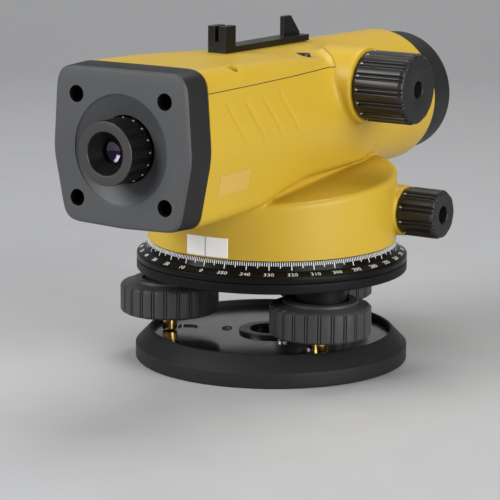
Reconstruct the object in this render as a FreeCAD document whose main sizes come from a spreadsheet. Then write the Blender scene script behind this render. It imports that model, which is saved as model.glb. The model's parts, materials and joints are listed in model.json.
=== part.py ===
import FreeCAD, Part
# Automatic level on a three-screw levelling base.
# Units are millimetres. Frame: origin on the vertical axis at the underside of the
# base, +Z up, +Y forward along the line of sight to the objective, +X to the right.
# Small turned parts are outlines of (radius, height) spun about a local Z axis.
import math
import os
import Sketcher
from FreeCAD import Vector, Rotation, Placement

doc = FreeCAD.newDocument("automatic_level")

# ---------------------------------------------------------- driving dimensions
# Suffixes: rad = radius, low / top / z = heights, x / y = places, pcr = pitch circle radius.
DIMENSIONS = [
    # levelling base
    ("base_rad", 54.5), ("base_wall", 5.9), ("crest_rad", 48.2), ("crest_z", 11.6),
    ("seat_rad", 47.7), ("plate_rad", 47.6), ("plate_top", 9.5), ("plate_low", 8.0),
    ("base_floor", 4.0), ("hub_rad", 21.0), ("bush_rad", 11.98), ("bush_hole", 12.0),
    ("thread_rad", 7.94), ("collar_rad", 13.0), ("collar_z", 10.7),
    ("plate_screw_pcr", 18.7), ("plate_screw_head", 2.0), ("plate_screw_shank", 1.2),
    ("foot_circle", 41.0), ("pad_rad", 3.0), ("pad_low", 9.6), ("pad_top", 20.1),
    # foot screws
    ("knob_rad", 19.8), ("knob_low", 17.5), ("knob_edge", 29.0), ("knob_top", 31.4),
    ("knob_cavity_rad", 4.2), ("knob_cavity_top", 22.6), ("knob_web_top", 25.4),
    ("knob_recess_rad", 12.4), ("spindle_rad", 3.0), ("spindle_top", 39.5),
    ("run_gap", 0.05),
    # tribrach and vertical axis
    ("neck_rad", 10.2), ("neck_low", 28.0), ("tri_low", 36.6), ("tri_web", 37.4),
    ("tri_top", 40.4), ("tri_rad", 54.0), ("tri_hub", 17.0), ("collar_seat", 23.9),
    ("collar_seat_top", 46.4), ("nut_rad", 5.0),
    ("axis_rad", 9.0), ("axis_fit", 8.98), ("axis_flange", 14.0), ("axis_flange_top", 49.8),
    ("axis_journal_top", 66.0), ("axis_top", 72.0), ("axis_thread", 5.0),
    # graduated circle
    ("circle_bore", 23.95), ("circle_rim", 54.0), ("circle_low", 40.6),
    ("circle_rim_top", 42.8), ("band_top_rad", 50.5), ("band_top_z", 44.6),
    ("tick_rad", 49.0), ("tick_z", 48.3), ("circle_web", 43.6), ("circle_web_top", 45.8),
    # azimuth drive
    ("wheel_low", 58.1), ("wheel_high", 63.3), ("wheel_teeth", 48.0),
    ("gear_module", 0.7875), ("worm_pitch_rad", 4.0), ("tangent_shaft_rad", 2.5),
    ("tangent_inner", 49.1), ("tangent_length", 15.9), ("tangent_knob_rad", 9.7),
    ("tangent_boss_rad", 10.0), ("tangent_boss_x", 48.8),
    # alidade casing
    ("drum_rad", 49.6), ("drum_low", 48.6), ("wall", 2.6), ("shelf_z", 74.2),
    ("shelf_slope", 5.3), ("rim_fillet", 2.0), ("tube_z", 96.6), ("tube_rad", 27.8),
    ("body_rear", -89.5), ("body_front", 83.0), ("parting_z", 117.8), ("gasket_top", 118.1),
    ("cover_front", 35.0), ("bore_rad", 21.0), ("bore_start", 54.0), ("base_screw_pcr", 43.0),
    # eyepiece end
    ("cap_front", -102.0), ("cap_hole", 12.4), ("dish_rad", 20.3), ("cap_screw_x", 19.5),
    ("cap_screw_dz", 19.1), ("cap_screw_rad", 2.95),
    ("dioptre_rad", 11.9), ("dioptre_rear", -98.5),
    ("eye_tube_rad", 9.4), ("eye_tube_bore", 7.6), ("eye_cell_rad", 7.55),
    # focusing
    ("focus_y", 17.0), ("focus_z", 110.0), ("focus_boss_rad", 15.1), ("focus_boss_x", 33.2),
    ("focus_knob_rad", 14.0), ("focus_knob_in", 34.0), ("focus_knob_len", 22.0),
    ("pinion_module", 0.6), ("pinion_teeth", 8.0), ("slider_rad", 13.0),
    # objective
    ("hood_rad", 25.3), ("lens_rad", 17.0),
    # circular level
    ("vial_x", -38.5), ("vial_y", -5.0), ("vial_rad", 8.5), ("vial_low", 76.6),
]

sheet = doc.addObject("Spreadsheet::Sheet", "dims")
sheet.Label = "dims"
for row, (alias, value) in enumerate(DIMENSIONS, start=1):
    sheet.set("A%d" % row, alias)
    sheet.set("B%d" % row, repr(float(value)))
    sheet.setAlias("B%d" % row, alias)
doc.recompute()


class Size:
    """A size: its number and the spreadsheet expression that gives it."""

    def __init__(self, value, text=None):
        self.value = float(value)
        self.text = text or "(%r)" % self.value

    def __add__(self, other):
        other = as_size(other)
        return Size(self.value + other.value, "(%s + %s)" % (self.text, other.text))

    def __sub__(self, other):
        other = as_size(other)
        return Size(self.value - other.value, "(%s - %s)" % (self.text, other.text))

    def __mul__(self, other):
        other = as_size(other)
        return Size(self.value * other.value, "(%s * %s)" % (self.text, other.text))

    __radd__ = __add__
    __rmul__ = __mul__


def as_size(value):
    return value if isinstance(value, Size) else Size(value)


class Dimensions:
    """dim.alias reads a spreadsheet alias as a Size."""

    def __getattr__(self, name):
        return Size(getattr(sheet, name), "dims.%s" % name)


dim = Dimensions()
NODES = []          # (node name, document object)

# Rotations that aim a piece's local +Z.
UPRIGHT = Rotation()
TURN_FORWARD = Rotation(Vector(1, 0, 0), -90)
TURN_BACK = Rotation(Vector(1, 0, 0), 90)
TURN_RIGHT = Rotation(Vector(0, 1, 0), 90)
TURN_LEFT = Rotation(Vector(0, 1, 0), -90)
# Directions for plain cylinders.
ALONG_X = (1, 0, 0)
ALONG_Y = (0, 1, 0)
ALONG_Z = (0, 0, 1)
SIDES = (1, -1)     # sign of x: right, then left
LEVELS = (1, -1)    # above, then below the line of sight


# ------------------------------------------------------------ document helpers
def num(size):
    return size.value if isinstance(size, Size) else float(size)


def bind(obj, prop, size):
    if isinstance(size, Size):
        obj.setExpression(prop, size.text)


def node(obj, label):
    """Register an object for export under its label."""
    obj.Label = label
    NODES.append((label, obj))
    return obj


def place(obj, x=0.0, y=0.0, z=0.0, turn=UPRIGHT):
    obj.Placement = Placement(Vector(num(x), num(y), num(z)), turn)
    for axis, size in (("x", x), ("y", y), ("z", z)):
        bind(obj, ".Placement.Base.%s" % axis, size)


def feature(label, shape, x=0.0, y=0.0, z=0.0, turn=UPRIGHT):
    obj = doc.addObject("Part::Feature", label)
    obj.Shape = shape
    place(obj, x, y, z, turn)
    return node(obj, label)


def linked_compound(label, members):
    compound = doc.addObject("Part::Compound", label)
    compound.Links = members
    return node(compound, label)


def new_body(name):
    return doc.addObject("PartDesign::Body", name)


def origin_part(body, role):
    for part in body.Origin.OriginFeatures:
        if part.Role == role:
            return part
    raise ValueError(role)


def new_sketch(body, role, name, offset=0.0):
    sketch = body.newObject("Sketcher::SketchObject", name)
    sketch.AttachmentSupport = [(origin_part(body, role), "")]
    sketch.MapMode = "FlatFace"
    if num(offset):
        sketch.AttachmentOffset = Placement(Vector(0, 0, num(offset)), Rotation())
        bind(sketch, ".AttachmentOffset.Base.z", offset)
    return sketch


def fix_point(sketch, geometry, point, x, y, on_axis):
    """Hold a point at (x, y); coordinates for which on_axis is true lie on an axis."""
    for kind, size, axis in (("DistanceX", x, -2), ("DistanceY", y, -1)):
        if on_axis(size):
            sketch.addConstraint(
                Sketcher.Constraint("PointOnObject", geometry, point, axis))
        else:
            index = sketch.addConstraint(
                Sketcher.Constraint(kind, -1, 1, geometry, point, num(size)))
            bind(sketch, "Constraints[%d]" % index, size)


def is_zero(size):
    return abs(num(size)) < 1e-9


def is_plain_zero(size):
    return not isinstance(size, Size) and is_zero(size)


def polygon(sketch, points):
    """Closed outline whose corners are each fixed by bound distances."""
    first = sketch.GeometryCount
    total = len(points)
    for i in range(total):
        ends = [Vector(num(x), num(y), 0) for x, y in (points[i], points[(i + 1) % total])]
        sketch.addGeometry(Part.LineSegment(*ends), False)
    for i in range(total):
        sketch.addConstraint(
            Sketcher.Constraint("Coincident", first + i, 2, first + (i + 1) % total, 1))
    for i, (x, y) in enumerate(points):
        fix_point(sketch, first + i, 1, x, y, is_plain_zero)


def circle(sketch, x, y, radius):
    geometry = sketch.addGeometry(
        Part.Circle(Vector(num(x), num(y), 0), Vector(0, 0, 1), num(radius)), False)
    fix_point(sketch, geometry, 3, x, y, is_zero)
    index = sketch.addConstraint(Sketcher.Constraint("Radius", geometry, num(radius)))
    bind(sketch, "Constraints[%d]" % index, radius)


def circles(centres, *radii):
    """A drawing function: every radius at every centre."""
    def draw(sketch):
        for x, y in centres:
            for radius in radii:
                circle(sketch, x, y, radius)
    return draw


def revolve(label, points, x=0.0, y=0.0, z=0.0, turn=UPRIGHT, register=True):
    """Turned piece: (radius, height) outline spun about the body's local Z."""
    body = new_body(label)
    sketch = new_sketch(body, "XZ_Plane", label + "_outline")
    polygon(sketch, points)
    turned = body.newObject("PartDesign::Revolution", label + "_turned")
    turned.Profile = (sketch, [""])
    turned.ReferenceAxis = (sketch, ["V_Axis"])
    turned.Angle = 360.0
    body.Tip = turned
    place(body, x, y, z, turn)
    if register:
        node(body, label)
    return body


def volume(body):
    doc.recompute()
    return body.Shape.Volume


def pad(body, name, draw, length, low=0.0):
    """Add material upward from height low, in the body's own frame."""
    sketch = new_sketch(body, "XY_Plane", name + "_sketch", low)
    draw(sketch)
    added = body.newObject("PartDesign::Pad", name)
    added.Profile = (sketch, [""])
    added.Length = num(length)
    bind(added, "Length", length)
    body.Tip = added
    doc.recompute()


def pocket(body, name, draw, length, low):
    """Cut upward from height low over length, in the body's own frame."""
    before = volume(body)
    sketch = new_sketch(body, "XY_Plane", name + "_sketch", low)
    draw(sketch)
    cut = body.newObject("PartDesign::Pocket", name)
    cut.Profile = (sketch, [""])
    cut.Reversed = True
    cut.Length = num(length)
    bind(cut, "Length", length)
    body.Tip = cut
    if not volume(body) < before - 1e-6:
        raise RuntimeError("pocket %s cut nothing" % name)
    return cut


def polar_xy(radius, degrees):
    angle = math.radians(degrees)
    return radius * math.cos(angle), radius * math.sin(angle)


def groove_pairs(body, name, pattern_name, centre_rad, groove_rad, half_angle, length, count,
                 low=-1.0):
    """Pairs of grip grooves repeated round a knob."""
    centres = [polar_xy(centre_rad, angle) for angle in (-half_angle, half_angle)]
    cut = pocket(body, name, circles(centres, groove_rad), length, low)
    pattern = body.newObject("PartDesign::PolarPattern", pattern_name)
    pattern.Originals = [cut]
    pattern.Axis = (origin_part(body, "Z_Axis"), [""])
    pattern.Angle = 360.0
    pattern.Occurrences = count
    body.Tip = pattern
    doc.recompute()


# --------------------------------------------------------------- solid helpers
def cyl(radius, length, base, axis=ALONG_Z):
    return Part.makeCylinder(num(radius), num(length), Vector(*[num(c) for c in base]),
                             Vector(*axis))


def box(*limits):
    """Block from the limits x0, x1, y0, y1, z0, z1."""
    x0, x1, y0, y1, z0, z1 = [num(limit) for limit in limits]
    return Part.makeBox(x1 - x0, y1 - y0, z1 - z0, Vector(x0, y0, z0))


def blocks(rows):
    """Blocks fused in order; each row holds x0, x1, y0, y1, z0, z1."""
    solid = box(*rows[0])
    for limits in rows[1:]:
        solid = solid.fuse(box(*limits))
    return solid


def side_profile(x, width, outline):
    """Closed (y, z) outline extruded from x towards +X."""
    points = [Vector(x, y, z) for y, z in outline + outline[:1]]
    return Part.Face(Part.makePolygon(points)).extrude(Vector(width, 0, 0))


def biggest(shape):
    return max(shape.Solids, key=lambda solid: solid.Volume)


SCREW_SHANK = 1.45
SCREW_HOLE = 1.5


def screw_group(label, points, axis, head_rad, head_height, reach):
    """Socket-headed screws; each point is the outer end of a head."""
    direction = Vector(*axis)
    made = []
    for point in points:
        base = Vector(*[num(c) for c in point])
        head = Part.makeCylinder(head_rad, head_height, base, direction).cut(
            Part.makeCylinder(head_rad * 0.45, head_height * 0.6, base - direction * 0.001,
                              direction))
        shank = Part.makeCylinder(SCREW_SHANK, head_height + reach,
                                  base + direction * (head_height * 0.6), direction)
        made.append(head.fuse(shank).removeSplitter())
    feature(label, Part.makeCompound(made))


# -------------------------------------------------------------- levelling base
# The foot labelled rear lies on +Y; the left and right feet lie behind the axis.
FOOT_CENTRES = {side: polar_xy(dim.foot_circle, angle)
                for side, angle in (("left", -150.0), ("right", -30.0), ("rear", 90.0))}
PLATE_SCREW_CENTRES = [polar_xy(dim.plate_screw_pcr, angle) for angle in (-163.9, -43.9, 76.1)]
FOOT_BOSS_RAD = 5.0
SEAT_LEDGE = 4.7            # width of the ledge that carries the spring plate
PLATE_SCREW_LOW = 4.2

base = revolve("base_casting", [
    (dim.bush_hole, 0), (dim.base_rad - 0.6, 0), (dim.base_rad, 0.6),
    (dim.base_rad, dim.base_wall), (dim.crest_rad + 0.8, dim.crest_z - 0.4),
    (dim.crest_rad, dim.crest_z), (dim.seat_rad, dim.crest_z - 0.3),
    (dim.seat_rad, dim.plate_low), (dim.seat_rad - SEAT_LEDGE, dim.plate_low),
    (dim.seat_rad - SEAT_LEDGE, dim.base_floor), (dim.hub_rad, dim.base_floor),
    (dim.hub_rad, dim.plate_low), (dim.bush_hole, dim.plate_low)])
pad(base, "foot_bosses", circles(FOOT_CENTRES.values(), FOOT_BOSS_RAD),
    dim.plate_low - dim.base_floor + 0.5, dim.base_floor - 0.5)
pocket(base, "plate_screw_holes", circles(PLATE_SCREW_CENTRES, dim.plate_screw_shank + 0.02),
       length=6.0, low=3.0)

revolve("tripod_thread_bush", [
    (dim.thread_rad, 0), (dim.bush_rad, 0), (dim.bush_rad, dim.plate_top),
    (dim.collar_rad, dim.plate_top), (dim.collar_rad, dim.collar_z - 0.4),
    (dim.collar_rad - 0.6, dim.collar_z), (dim.thread_rad + 0.9, dim.collar_z),
    (dim.thread_rad, dim.collar_z - 0.9)])

# Outlines (x, y) cut in the spring plate, each turned to its place.
RELIEF_SLOT = [(-36.4, -13.9), (-36.2, -15.2), (-35.4, -15.3), (-28.9, -12.6),
               (-28.2, -11.6), (-28.6, -10.6), (-29.6, -10.5), (-36.0, -13.1)]
RIM_NOTCH = [(44.5, -0.5), (49.0, -0.5), (49.0, 0.5), (44.5, 0.5)]


def turned_polygons(points, *turns):
    """A drawing function: the outline turned about the origin by each angle."""
    def draw(sketch):
        for degrees in turns:
            cosine, sine = polar_xy(1.0, degrees)
            polygon(sketch, [(x * cosine - y * sine, x * sine + y * cosine)
                             for x, y in points])
    return draw


def spring_plate():
    plate = new_body("spring_plate")
    pad(plate, "plate_disc", circles([(0, 0)], dim.plate_rad, dim.bush_hole),
        dim.plate_top - dim.plate_low, dim.plate_low)
    for name, draw in (
            ("plate_screw_clearance",
             circles(PLATE_SCREW_CENTRES, dim.plate_screw_shank + 0.05)),
            ("relief_slots", turned_polygons(RELIEF_SLOT, 0, 120, 240)),
            ("rim_notch", turned_polygons(RIM_NOTCH, 37.5))):
        pocket(plate, name, draw, length=4.0, low=7.0)
    node(plate, "spring_plate")


def slotted_screw(x, y):
    slot = box(-3, 3, -0.3, 0.3, dim.plate_top + 0.45, dim.plate_top + 2)
    head = cyl(dim.plate_screw_head, 0.9, (x, y, dim.plate_top)).cut(
        slot.translated(Vector(num(x), num(y), 0)))
    shank = cyl(dim.plate_screw_shank, dim.plate_top - PLATE_SCREW_LOW,
                (x, y, PLATE_SCREW_LOW))
    return head.fuse(shank).removeSplitter()


spring_plate()
feature("spring_plate_screws",
        Part.makeCompound([slotted_screw(x, y) for x, y in PLATE_SCREW_CENTRES]))

FOOT_PIN = [
    (0, dim.pad_low), (1.2, dim.pad_low), (dim.pad_rad, dim.pad_low + 0.4),
    (dim.pad_rad, dim.pad_top - 0.6), (dim.pad_rad - 0.6, dim.pad_top), (0, dim.pad_top)]
foot_pins = {side: revolve("foot_pin_" + side, FOOT_PIN, x, y, register=(side == "rear"))
             for side, (x, y) in FOOT_CENTRES.items()}
linked_compound("foot_pins_front", [foot_pins["left"], foot_pins["right"]])


# ----------------------------------------------------------------- foot screws
def foot_screw(side, x, y):
    knob = revolve("foot_knob_" + side, [
        (dim.spindle_rad, dim.knob_cavity_top), (dim.knob_cavity_rad, dim.knob_cavity_top),
        (dim.knob_cavity_rad, dim.knob_low), (dim.knob_rad - 1.0, dim.knob_low),
        (dim.knob_rad, dim.knob_low + 0.9), (dim.knob_rad, dim.knob_edge),
        (dim.knob_rad - 1.6, dim.knob_edge + 1.5), (dim.knob_rad - 5.0, dim.knob_top),
        (dim.knob_recess_rad + 1.2, dim.knob_top), (dim.knob_recess_rad, dim.knob_top - 0.9),
        (dim.knob_recess_rad, dim.knob_web_top), (dim.spindle_rad, dim.knob_web_top)], x, y)
    groove_pairs(knob, "knob_flute_" + side, "knob_flutes_" + side, dim.knob_rad + 0.05,
                 groove_rad=0.42, half_angle=3.1, length=20.0, count=24, low=15.0)
    revolve("foot_spindle_" + side, [
        (0, dim.knob_cavity_top), (dim.spindle_rad, dim.knob_cavity_top),
        (dim.spindle_rad, dim.spindle_top - 0.5), (dim.spindle_rad - 0.5, dim.spindle_top),
        (0, dim.spindle_top)], x, y)


for side, (x, y) in FOOT_CENTRES.items():
    foot_screw(side, x, y)

# -------------------------------------------------- tribrach and vertical axis
tribrach = revolve("tribrach_body", [
    (dim.axis_rad, dim.neck_low), (dim.tri_hub - 2.0, dim.neck_low),
    (dim.tri_hub, dim.neck_low + 2.0), (dim.tri_hub, dim.tri_web),
    (dim.tri_rad - 3.0, dim.tri_web), (dim.tri_rad - 3.0, dim.tri_low),
    (dim.tri_rad - 0.6, dim.tri_low), (dim.tri_rad, dim.tri_low + 0.6),
    (dim.tri_rad, dim.tri_top), (dim.collar_seat, dim.tri_top),
    (dim.collar_seat, dim.collar_seat_top), (dim.axis_rad, dim.collar_seat_top)])
pad(tribrach, "screw_necks", circles(FOOT_CENTRES.values(), dim.neck_rad),
    dim.tri_web - dim.neck_low + 0.5, dim.neck_low)
pocket(tribrach, "bush_bores", circles(FOOT_CENTRES.values(), dim.nut_rad),
       20.0, dim.neck_low - 1.0)

feature("foot_screw_nuts", Part.makeCompound([
    cyl(dim.nut_rad, dim.tri_top - dim.neck_low - 0.4, (x, y, dim.neck_low)).cut(
        cyl(dim.spindle_rad + dim.run_gap, 20, (x, y, dim.neck_low - 1)))
    for x, y in FOOT_CENTRES.values()]))

revolve("vertical_axis", [
    (0, dim.neck_low + 0.5), (dim.axis_fit, dim.neck_low + 0.5),
    (dim.axis_fit, dim.collar_seat_top), (dim.axis_flange, dim.collar_seat_top),
    (dim.axis_flange, dim.axis_flange_top), (dim.axis_rad, dim.axis_flange_top),
    (dim.axis_rad, dim.axis_journal_top), (dim.axis_thread, dim.axis_journal_top),
    (dim.axis_thread, dim.axis_top - 0.5), (dim.axis_thread - 0.5, dim.axis_top),
    (0, dim.axis_top)])

friction_inner, friction_outer = 30.0, 36.0
revolve("circle_friction_ring", [
    (friction_inner, dim.tri_top), (friction_outer, dim.tri_top),
    (friction_outer, dim.circle_web - dim.run_gap),
    (friction_inner, dim.circle_web - dim.run_gap)])

revolve("slip_spring", [
    (dim.axis_rad + 0.1, dim.wheel_high + 0.9), (12.0, dim.wheel_high + 0.9),
    (14.6, dim.wheel_high + dim.run_gap), (15.0, dim.wheel_high + 0.75),
    (12.2, dim.wheel_high + 1.75), (dim.axis_rad + 0.1, dim.wheel_high + 1.75)])

axis_nut_rad, axis_nut_height = 13.0, 3.2
axis_nut = revolve("axis_nut", [
    (dim.axis_thread, dim.axis_journal_top), (axis_nut_rad, dim.axis_journal_top),
    (axis_nut_rad, dim.axis_journal_top + axis_nut_height - 0.6),
    (axis_nut_rad - 0.6, dim.axis_journal_top + axis_nut_height),
    (dim.axis_thread, dim.axis_journal_top + axis_nut_height)])
pocket(axis_nut, "spanner_holes", circles([(9.5, 0), (-9.5, 0)], 1.0), length=5.0, low=67.0)

# ------------------------------------------------------------ graduated circle
revolve("graduated_circle", [
    (dim.circle_bore, dim.circle_web), (dim.circle_rim - 7.0, dim.circle_web),
    (dim.circle_rim - 4.5, dim.circle_low), (dim.circle_rim - 0.4, dim.circle_low),
    (dim.circle_rim, dim.circle_low + 0.4), (dim.circle_rim, dim.circle_rim_top),
    (dim.circle_rim - 0.6, dim.circle_rim_top + 0.4), (dim.band_top_rad, dim.band_top_z),
    (dim.band_top_rad - 0.2, dim.band_top_z + 0.2), (dim.tick_rad, dim.tick_z),
    (dim.tick_rad - 2.8, dim.tick_z - 0.1), (dim.tick_rad - 3.5, dim.circle_web_top),
    (dim.circle_bore, dim.circle_web_top)])

# --------------------------------------------------------------- azimuth drive
# The worm shaft runs along X, one wheel pitch radius and one worm pitch radius
# in front of the vertical axis, at mid height of the wheel.
TANGENT_Y = dim.gear_module * dim.wheel_teeth * 0.5 + dim.worm_pitch_rad
TANGENT_Z = (dim.wheel_low + dim.wheel_high) * 0.5
TAN_PRESSURE = math.tan(math.radians(20))
GEAR_ADDENDUM = 0.8         # in modules
GEAR_DEDENDUM = 1.0


def gear_solid(module, teeth, low, height, thin, turn):
    """Straight-flanked gear; thin is the share of the pitch taken off each flank."""
    pitch_rad = module * teeth / 2.0
    tip_rad = pitch_rad + GEAR_ADDENDUM * module
    root_rad = pitch_rad - GEAR_DEDENDUM * module
    pitch_angle = 2 * math.pi / teeth
    half = pitch_angle * (0.25 - thin)
    tip_half = half - GEAR_ADDENDUM * module * TAN_PRESSURE / pitch_rad
    root_half = half + GEAR_DEDENDUM * module * TAN_PRESSURE / pitch_rad
    points = []
    for tooth in range(int(teeth)):
        centre = tooth * pitch_angle
        for radius, offset in ((root_rad, -root_half), (tip_rad, -tip_half),
                               (tip_rad, tip_half), (root_rad, root_half)):
            angle = centre + offset
            points.append(Vector(radius * math.cos(angle), radius * math.sin(angle), 0))
    points.append(points[0])
    solid = Part.Face(Part.makePolygon(points)).extrude(Vector(0, 0, height))
    solid.rotate(Vector(0, 0, 0), Vector(0, 0, 1), turn)
    solid.translate(Vector(0, 0, low))
    return solid


def worm_wheel():
    """Wheel with one tooth centred on +Y, where the worm meets it."""
    wheel = gear_solid(num(dim.gear_module), num(dim.wheel_teeth), num(dim.wheel_low),
                       num(dim.wheel_high - dim.wheel_low), thin=0.055, turn=90.0)
    return wheel.cut(cyl(dim.axis_rad + dim.run_gap, 8, (0, 0, dim.wheel_low - 1)))


def worm_shaft():
    """Worm and shaft about local Z, centred on the origin."""
    core_length, shaft_length, turns = 15.0, 110.0, 5
    half_root, half_tip, depth, sunk = 0.62, 0.30, 1.45, 0.15
    pitch = math.pi * num(dim.gear_module)
    root = num(dim.worm_pitch_rad) - GEAR_DEDENDUM * num(dim.gear_module)
    core = Part.makeCylinder(root, core_length, Vector(0, 0, -core_length / 2.0))
    helix = Part.makeHelix(pitch, pitch * turns, root)
    inner = root - sunk
    outer = inner + depth
    profile = Part.makePolygon([
        Vector(inner, 0, -half_root), Vector(outer, 0, -half_tip),
        Vector(outer, 0, half_tip), Vector(inner, 0, half_root),
        Vector(inner, 0, -half_root)])
    thread = Part.Wire(helix).makePipeShell([profile], True, True)
    # The quarter pitch brings a thread gap opposite the wheel at mid length.
    thread.translate(Vector(0, 0, -pitch * turns / 2.0 + pitch / 4.0))
    solid = core.fuse(thread)
    shaft = cyl(dim.tangent_shaft_rad, shaft_length, (0, 0, -shaft_length / 2.0))
    return solid.fuse(shaft).removeSplitter()


def tangent_knob(side, turn, sign):
    knob = revolve("tangent_knob_" + side, [
        (dim.tangent_shaft_rad, 0), (dim.tangent_knob_rad - 0.5, 0),
        (dim.tangent_knob_rad, 0.5), (dim.tangent_knob_rad - 0.5, dim.tangent_length - 1.0),
        (dim.tangent_knob_rad - 1.4, dim.tangent_length), (3.4, dim.tangent_length),
        (3.4, 11.0), (dim.tangent_shaft_rad, 11.0)],
        sign * dim.tangent_inner, TANGENT_Y, TANGENT_Z, turn, register=False)
    name = "tangent_flute_" + side
    groove_pairs(knob, name, name + "_all", dim.tangent_knob_rad + 0.1,
                 groove_rad=0.55, half_angle=4.6, length=20.0, count=10)
    return knob


feature("worm_wheel", worm_wheel())
feature("tangent_shaft", worm_shaft(), 0.0, TANGENT_Y, TANGENT_Z, TURN_RIGHT)
linked_compound("tangent_knobs", [tangent_knob("right", TURN_RIGHT, 1),
                                  tangent_knob("left", TURN_LEFT, -1)])

# -------------------------------------------------------------- alidade casing
TUBE_Z = num(dim.tube_z)
BODY_REAR = num(dim.body_rear)
CASING_PLATE_LOW = 49.0
CASING_PLATE_TOP = 52.0
COVER_SCREWS = [(24.5, -68.0), (17.0, -5.0)]        # (x, y), repeated at -x
COVER_SCREW_RECESS = 2.8
POST_RAD = 4.0
FOCUS_BOSS_START = 15.0
BASE_SCREW_CENTRES = [polar_xy(dim.base_screw_pcr, 45 + 90 * k) for k in range(4)]
GRIP_GROOVE_Y = (-75.0, -62.5, -50.0, -37.7)

# Rear outline of the barrel: corners (x, z) and the radius at each.
REAR_CORNERS = [(-26.0, 66.4), (26.0, 66.4), (31.4, 96.0),
                (29.2, 126.2), (-29.2, 126.2), (-31.4, 96.0)]
REAR_RADII = [5.5, 5.5, 30.0, 6.5, 6.5, 30.0]

# Barrel stations: y, share of round shape, round radius, scale of rear shape.
SECTIONS = [
    (BODY_REAR, 0.0, 28.6, 1.0), (-60.0, 0.06, 28.8, 0.995), (-30.0, 0.25, 29.0, 0.985),
    (0.0, 0.6, 29.0, 0.975), (30.0, 0.92, 28.6, 0.97), (58.0, 1.0, 28.1, 0.97),
    (num(dim.body_front), 1.0, num(dim.tube_rad), 0.97)]
INNER_STATIONS = [-86.5, -60.0, -30.0, 0.0, 30.0, 53.9]


def outline_points(corners, radii, step):
    """Dense points round a polygon in (x, z) whose corners are rounded."""
    points = []
    total = len(corners)
    for i in range(total):
        before, corner, after = [Vector(*corners[k], 0) for k in (i - 1, i, (i + 1) % total)]
        back, ahead = (before - corner).normalize(), (after - corner).normalize()
        half = math.acos(max(-1, min(1, back.dot(ahead)))) / 2.0
        cut = radii[i] / math.tan(half)
        arc_start, arc_end = corner + back * cut, corner + ahead * cut
        centre = corner + (back + ahead).normalize() * (radii[i] / math.sin(half))
        sweep = math.pi - 2 * half
        steps = max(3, int(radii[i] * sweep / step))
        start = math.atan2((arc_start - centre).y, (arc_start - centre).x)
        sense = 1 if (arc_start - centre).cross(arc_end - centre).z > 0 else -1
        for j in range(steps + 1):
            angle = start + (sweep * j / steps) * sense
            points.append((centre.x + radii[i] * math.cos(angle),
                           centre.y + radii[i] * math.sin(angle)))
    return points


REAR_POINTS = outline_points(REAR_CORNERS, REAR_RADII, step=0.8)


def rear_radius(angle):
    """Distance from the tube axis to the rear outline at an angle."""
    ray_x, ray_z = math.cos(angle), math.sin(angle)
    best = 0.0
    for i, (x, z) in enumerate(REAR_POINTS):
        next_x, next_z = REAR_POINTS[(i + 1) % len(REAR_POINTS)]
        from_x, from_z = x, z - TUBE_Z
        edge_x, edge_z = next_x - from_x, next_z - TUBE_Z - from_z
        det = ray_x * (-edge_z) + edge_x * ray_z
        if abs(det) < 1e-12:
            continue
        distance = (from_x * (-edge_z) + edge_x * from_z) / det
        share = (ray_x * from_z - ray_z * from_x) / det
        if distance > 0 and -1e-9 <= share <= 1 + 1e-9:
            best = max(best, distance)
    return best


ANGLES = [2 * math.pi * k / 64 for k in range(64)]
REAR_DISTANCES = [rear_radius(angle) for angle in ANGLES]


def section_wire(section, inset):
    y, share, round_rad, scale = section
    points = []
    for angle, rear in zip(ANGLES, REAR_DISTANCES):
        radius = share * round_rad + (1 - share) * rear * scale - inset
        points.append(Vector(radius * math.cos(angle), y, TUBE_Z + radius * math.sin(angle)))
    curve = Part.BSplineCurve()
    curve.interpolate(points, PeriodicFlag=True)
    return Part.Wire(curve.toShape())


def section_at(y):
    """The station at y, in proportion between its neighbours in the table."""
    for low, high in zip(SECTIONS, SECTIONS[1:]):
        if low[0] <= y <= high[0]:
            share = (y - low[0]) / (high[0] - low[0])
            return tuple(low[i] + share * (high[i] - low[i]) for i in range(4))


def inner_barrel(inset):
    return Part.makeLoft([section_wire(section_at(y), inset) for y in INNER_STATIONS],
                         True, False)


def above_shelf(z_shift):
    """Block above the sloping shelf, which rises towards the front."""
    block = Part.makeBox(240.0, 240.0, 60.0, Vector(-120.0, -120.0, 0.0))
    block.Placement = Placement(Vector(0, 0, num(dim.shelf_z) + z_shift),
                                Rotation(Vector(1, 0, 0), num(dim.shelf_slope)))
    return block


def drum_solid():
    drum = cyl(dim.drum_rad, 40.0, (0, 0, dim.drum_low)).cut(above_shelf(0.0))
    rim = [edge for edge in drum.Edges
           if edge.BoundBox.ZMin > num(dim.drum_low) + 5 and edge.BoundBox.XLength > 90]
    return drum.makeFillet(num(dim.rim_fillet), rim)


def cap_screw_point(side, level, y):
    return side * dim.cap_screw_x, y, dim.tube_z + level * dim.cap_screw_dz


def window_band(outer_rad, margin):
    """Curved patch on the eyepiece side of the drum, grown by a margin."""
    ring = cyl(outer_rad, 7.6 + 2 * margin, (0, 0, 49.1 - margin)).cut(
        cyl(dim.drum_rad - 0.5, 9, (0, 0, 48.5)))
    return ring.common(box(-7.3 - margin, 10.9 + margin, -60, 0, 48, 57))


def casing_outer():
    """Outside of the casing as one filled solid."""
    barrel = Part.makeLoft([section_wire(section, 0.0) for section in SECTIONS], True, False)
    outer = barrel.fuse(drum_solid())
    outer = outer.fuse(cyl(dim.focus_boss_rad, dim.focus_boss_x - FOCUS_BOSS_START,
                           (FOCUS_BOSS_START, dim.focus_y, dim.focus_z), ALONG_X))
    for side in SIDES:
        outer = outer.fuse(cyl(dim.tangent_boss_rad, dim.tangent_boss_x - 32.0,
                               (side * 32.0, TANGENT_Y, TANGENT_Z), (side, 0, 0)))
    return outer.fuse(cyl(dim.vial_rad + 0.5, 14.0, (dim.vial_x, dim.vial_y, 62.5)))


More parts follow.
